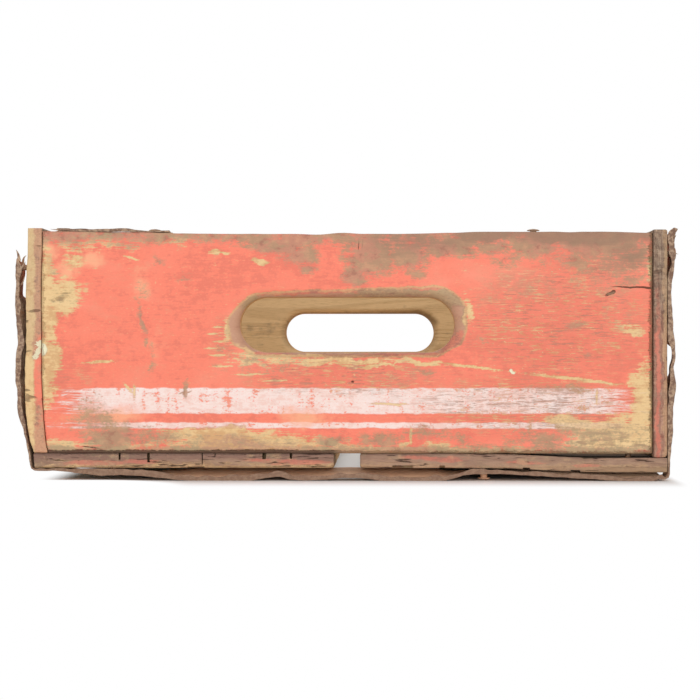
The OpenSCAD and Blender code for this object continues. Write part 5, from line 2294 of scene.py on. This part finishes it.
@dataclass
class Studio:
    """The pale floor, the soft light and the camera.

    Attributes:
        floor_half: Half the floor's width.
        fade: Distance from the crate over which the floor turns plain white.
        sky: Strength of the light from all round.
        lamps: The soft lamps.
    """

    floor_half: float = 9.0
    fade: float = 0.05
    sky: float = 0.72
    lamps: tuple[Lamp, ...] = (
        Lamp("key", (-0.8, -1.9, 0.7), (0, -0.1, 0.05), 1.2, 4.5),
        Lamp("fill", (1.2, -1.7, 0.4), (0, 0, 0.05), 0.7, 2.5),
        Lamp("low", (0.1, -1.9, 0.2), (0, -0.2, 0.02), 0.36, 5),
        Lamp("back", (0.3, 1.8, 1.4), (0, 0.1, 0.05), 1.2, 5),
    )

    def white_share(self, graph: Graph) -> Socket:
        """Adds a mask of the rays that see a plain white background."""
        path = graph.node("LightPath").outputs
        return graph.highest(path["Is Camera Ray"], path["Is Glossy Ray"],
                             path["Is Transmission Ray"])

    def world(self) -> None:
        """Lights the crate from all round, before a white background."""
        made = bpy.data.worlds.new("studio")
        made.use_nodes = True
        graph = Graph.__new__(Graph)
        graph.tree = made.node_tree
        graph.tree.nodes.clear()
        strength = graph.blend(self.white_share(graph), self.sky, 1.0)
        light = graph.node("Background", {"Color": (1, 1, 1, 1), "Strength": strength})
        graph.node("OutputWorld", {"Surface": light.outputs[0]})
        bpy.context.scene.world = made

    def floor(self) -> None:
        """Lays a pale floor that keeps the crate's shadow and fades to white, with painted light under the crate's
        middle and by its left end.
        """
        graph = Graph("studio_floor")
        seen = graph.node("TexCoord").outputs["Object"]
        x, y, _ = graph.node("SeparateXYZ", {0: seen}).outputs
        left = graph.math("MULTIPLY", x, -0.42)
        # Painted light: by the crate's left end the floor turns white sooner, which cuts the crate's shadow short
        # there.
        lit = graph.rise(x, -0.07, -0.115)
        gaps = [graph.product(graph.math("MAXIMUM", graph.math("SUBTRACT", value, half), 0.0),
                              haste)
                for value, half, haste in (
                    (graph.highest(x, graph.math("ADD", left, 0.095)), 0.15, 7.0),
                    (graph.math("ABSOLUTE", y), graph.blend(lit, 0.232, 0.222),
                     graph.blend(lit, 1.0, 6.0)))]
        away = graph.math("SQRT", graph.math("ADD", graph.product(gaps[0], gaps[0]),
                                             graph.product(gaps[1], gaps[1])))
        mottle = graph.noise(seen, 60, 3)
        colour = graph.tint(mottle, shade(240, 240, 239), shade(244, 244, 243))
        matt = graph.node("BsdfDiffuse", {"Color": colour})
        white = graph.node("Emission", {"Color": (1, 1, 1, 1), "Strength": 1.0})
        # Painted light: a pale strip of floor under the crate's middle, seen through the gap between the bottom
        # boards.
        inside = graph.math("SUBTRACT", 0.232, graph.math("ABSOLUTE", y))
        gap_light = graph.product(graph.rise(inside, 0.05, 0.1), graph.rise(
            graph.math("ABSOLUTE", x), 14 * MM, 9 * MM), 0.22)
        fade = graph.highest(graph.rise(away, 0.0, self.fade), gap_light)
        mixed = graph.node("MixShader", {
            0: graph.product(fade, self.white_share(graph)),
            1: matt.outputs[0], 2: white.outputs[0]})
        graph.node("OutputMaterial", {"Surface": mixed.outputs[0]})
        shape = Shape()
        half = self.floor_half
        shape.rows([[Vector((x, y, 0)) for x in (-half, half)] for y in (-half, half)])
        mesh = bpy.data.meshes.new("floor")
        mesh.from_pydata(shape.points, [], shape.faces)
        made = bpy.data.objects.new("floor", mesh)
        mesh.materials.append(graph.material)
        bpy.context.scene.collection.objects.link(made)

    def camera(self) -> None:
        """Sets the camera level with the crate's middle, a metre before its front end."""
        data = bpy.data.cameras.new("camera")
        data.lens, data.sensor_width = 107.5, 36.0
        data.clip_start, data.clip_end = 0.05, 60
        made = bpy.data.objects.new("camera", data)
        made.location = (0.0192, -1.212, 0.0614)
        aim = Vector((0.0014, -0.232, 0.0614)) - made.location
        made.rotation_euler = aim.to_track_quat("-Z", "Y").to_euler()
        bpy.context.scene.collection.objects.link(made)
        bpy.context.scene.camera = made

    def build(self) -> None:
        """Sets the studio up."""
        bpy.context.scene.view_settings.view_transform = "Standard"
        self.world()
        self.floor()
        for lamp in self.lamps:
            lamp.build()
        self.camera()
        log.info("studio: floor, %d lamps and camera", len(self.lamps))


def main() -> None:
    """Builds the crate's looks and the studio."""
    logging.basicConfig(level=logging.INFO, format="%(name)s: %(message)s")
    Boards().build()
    Straps().build()
    Nails().build()
    Studio().build()
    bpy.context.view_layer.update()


if __name__ == "__main__":
    main()
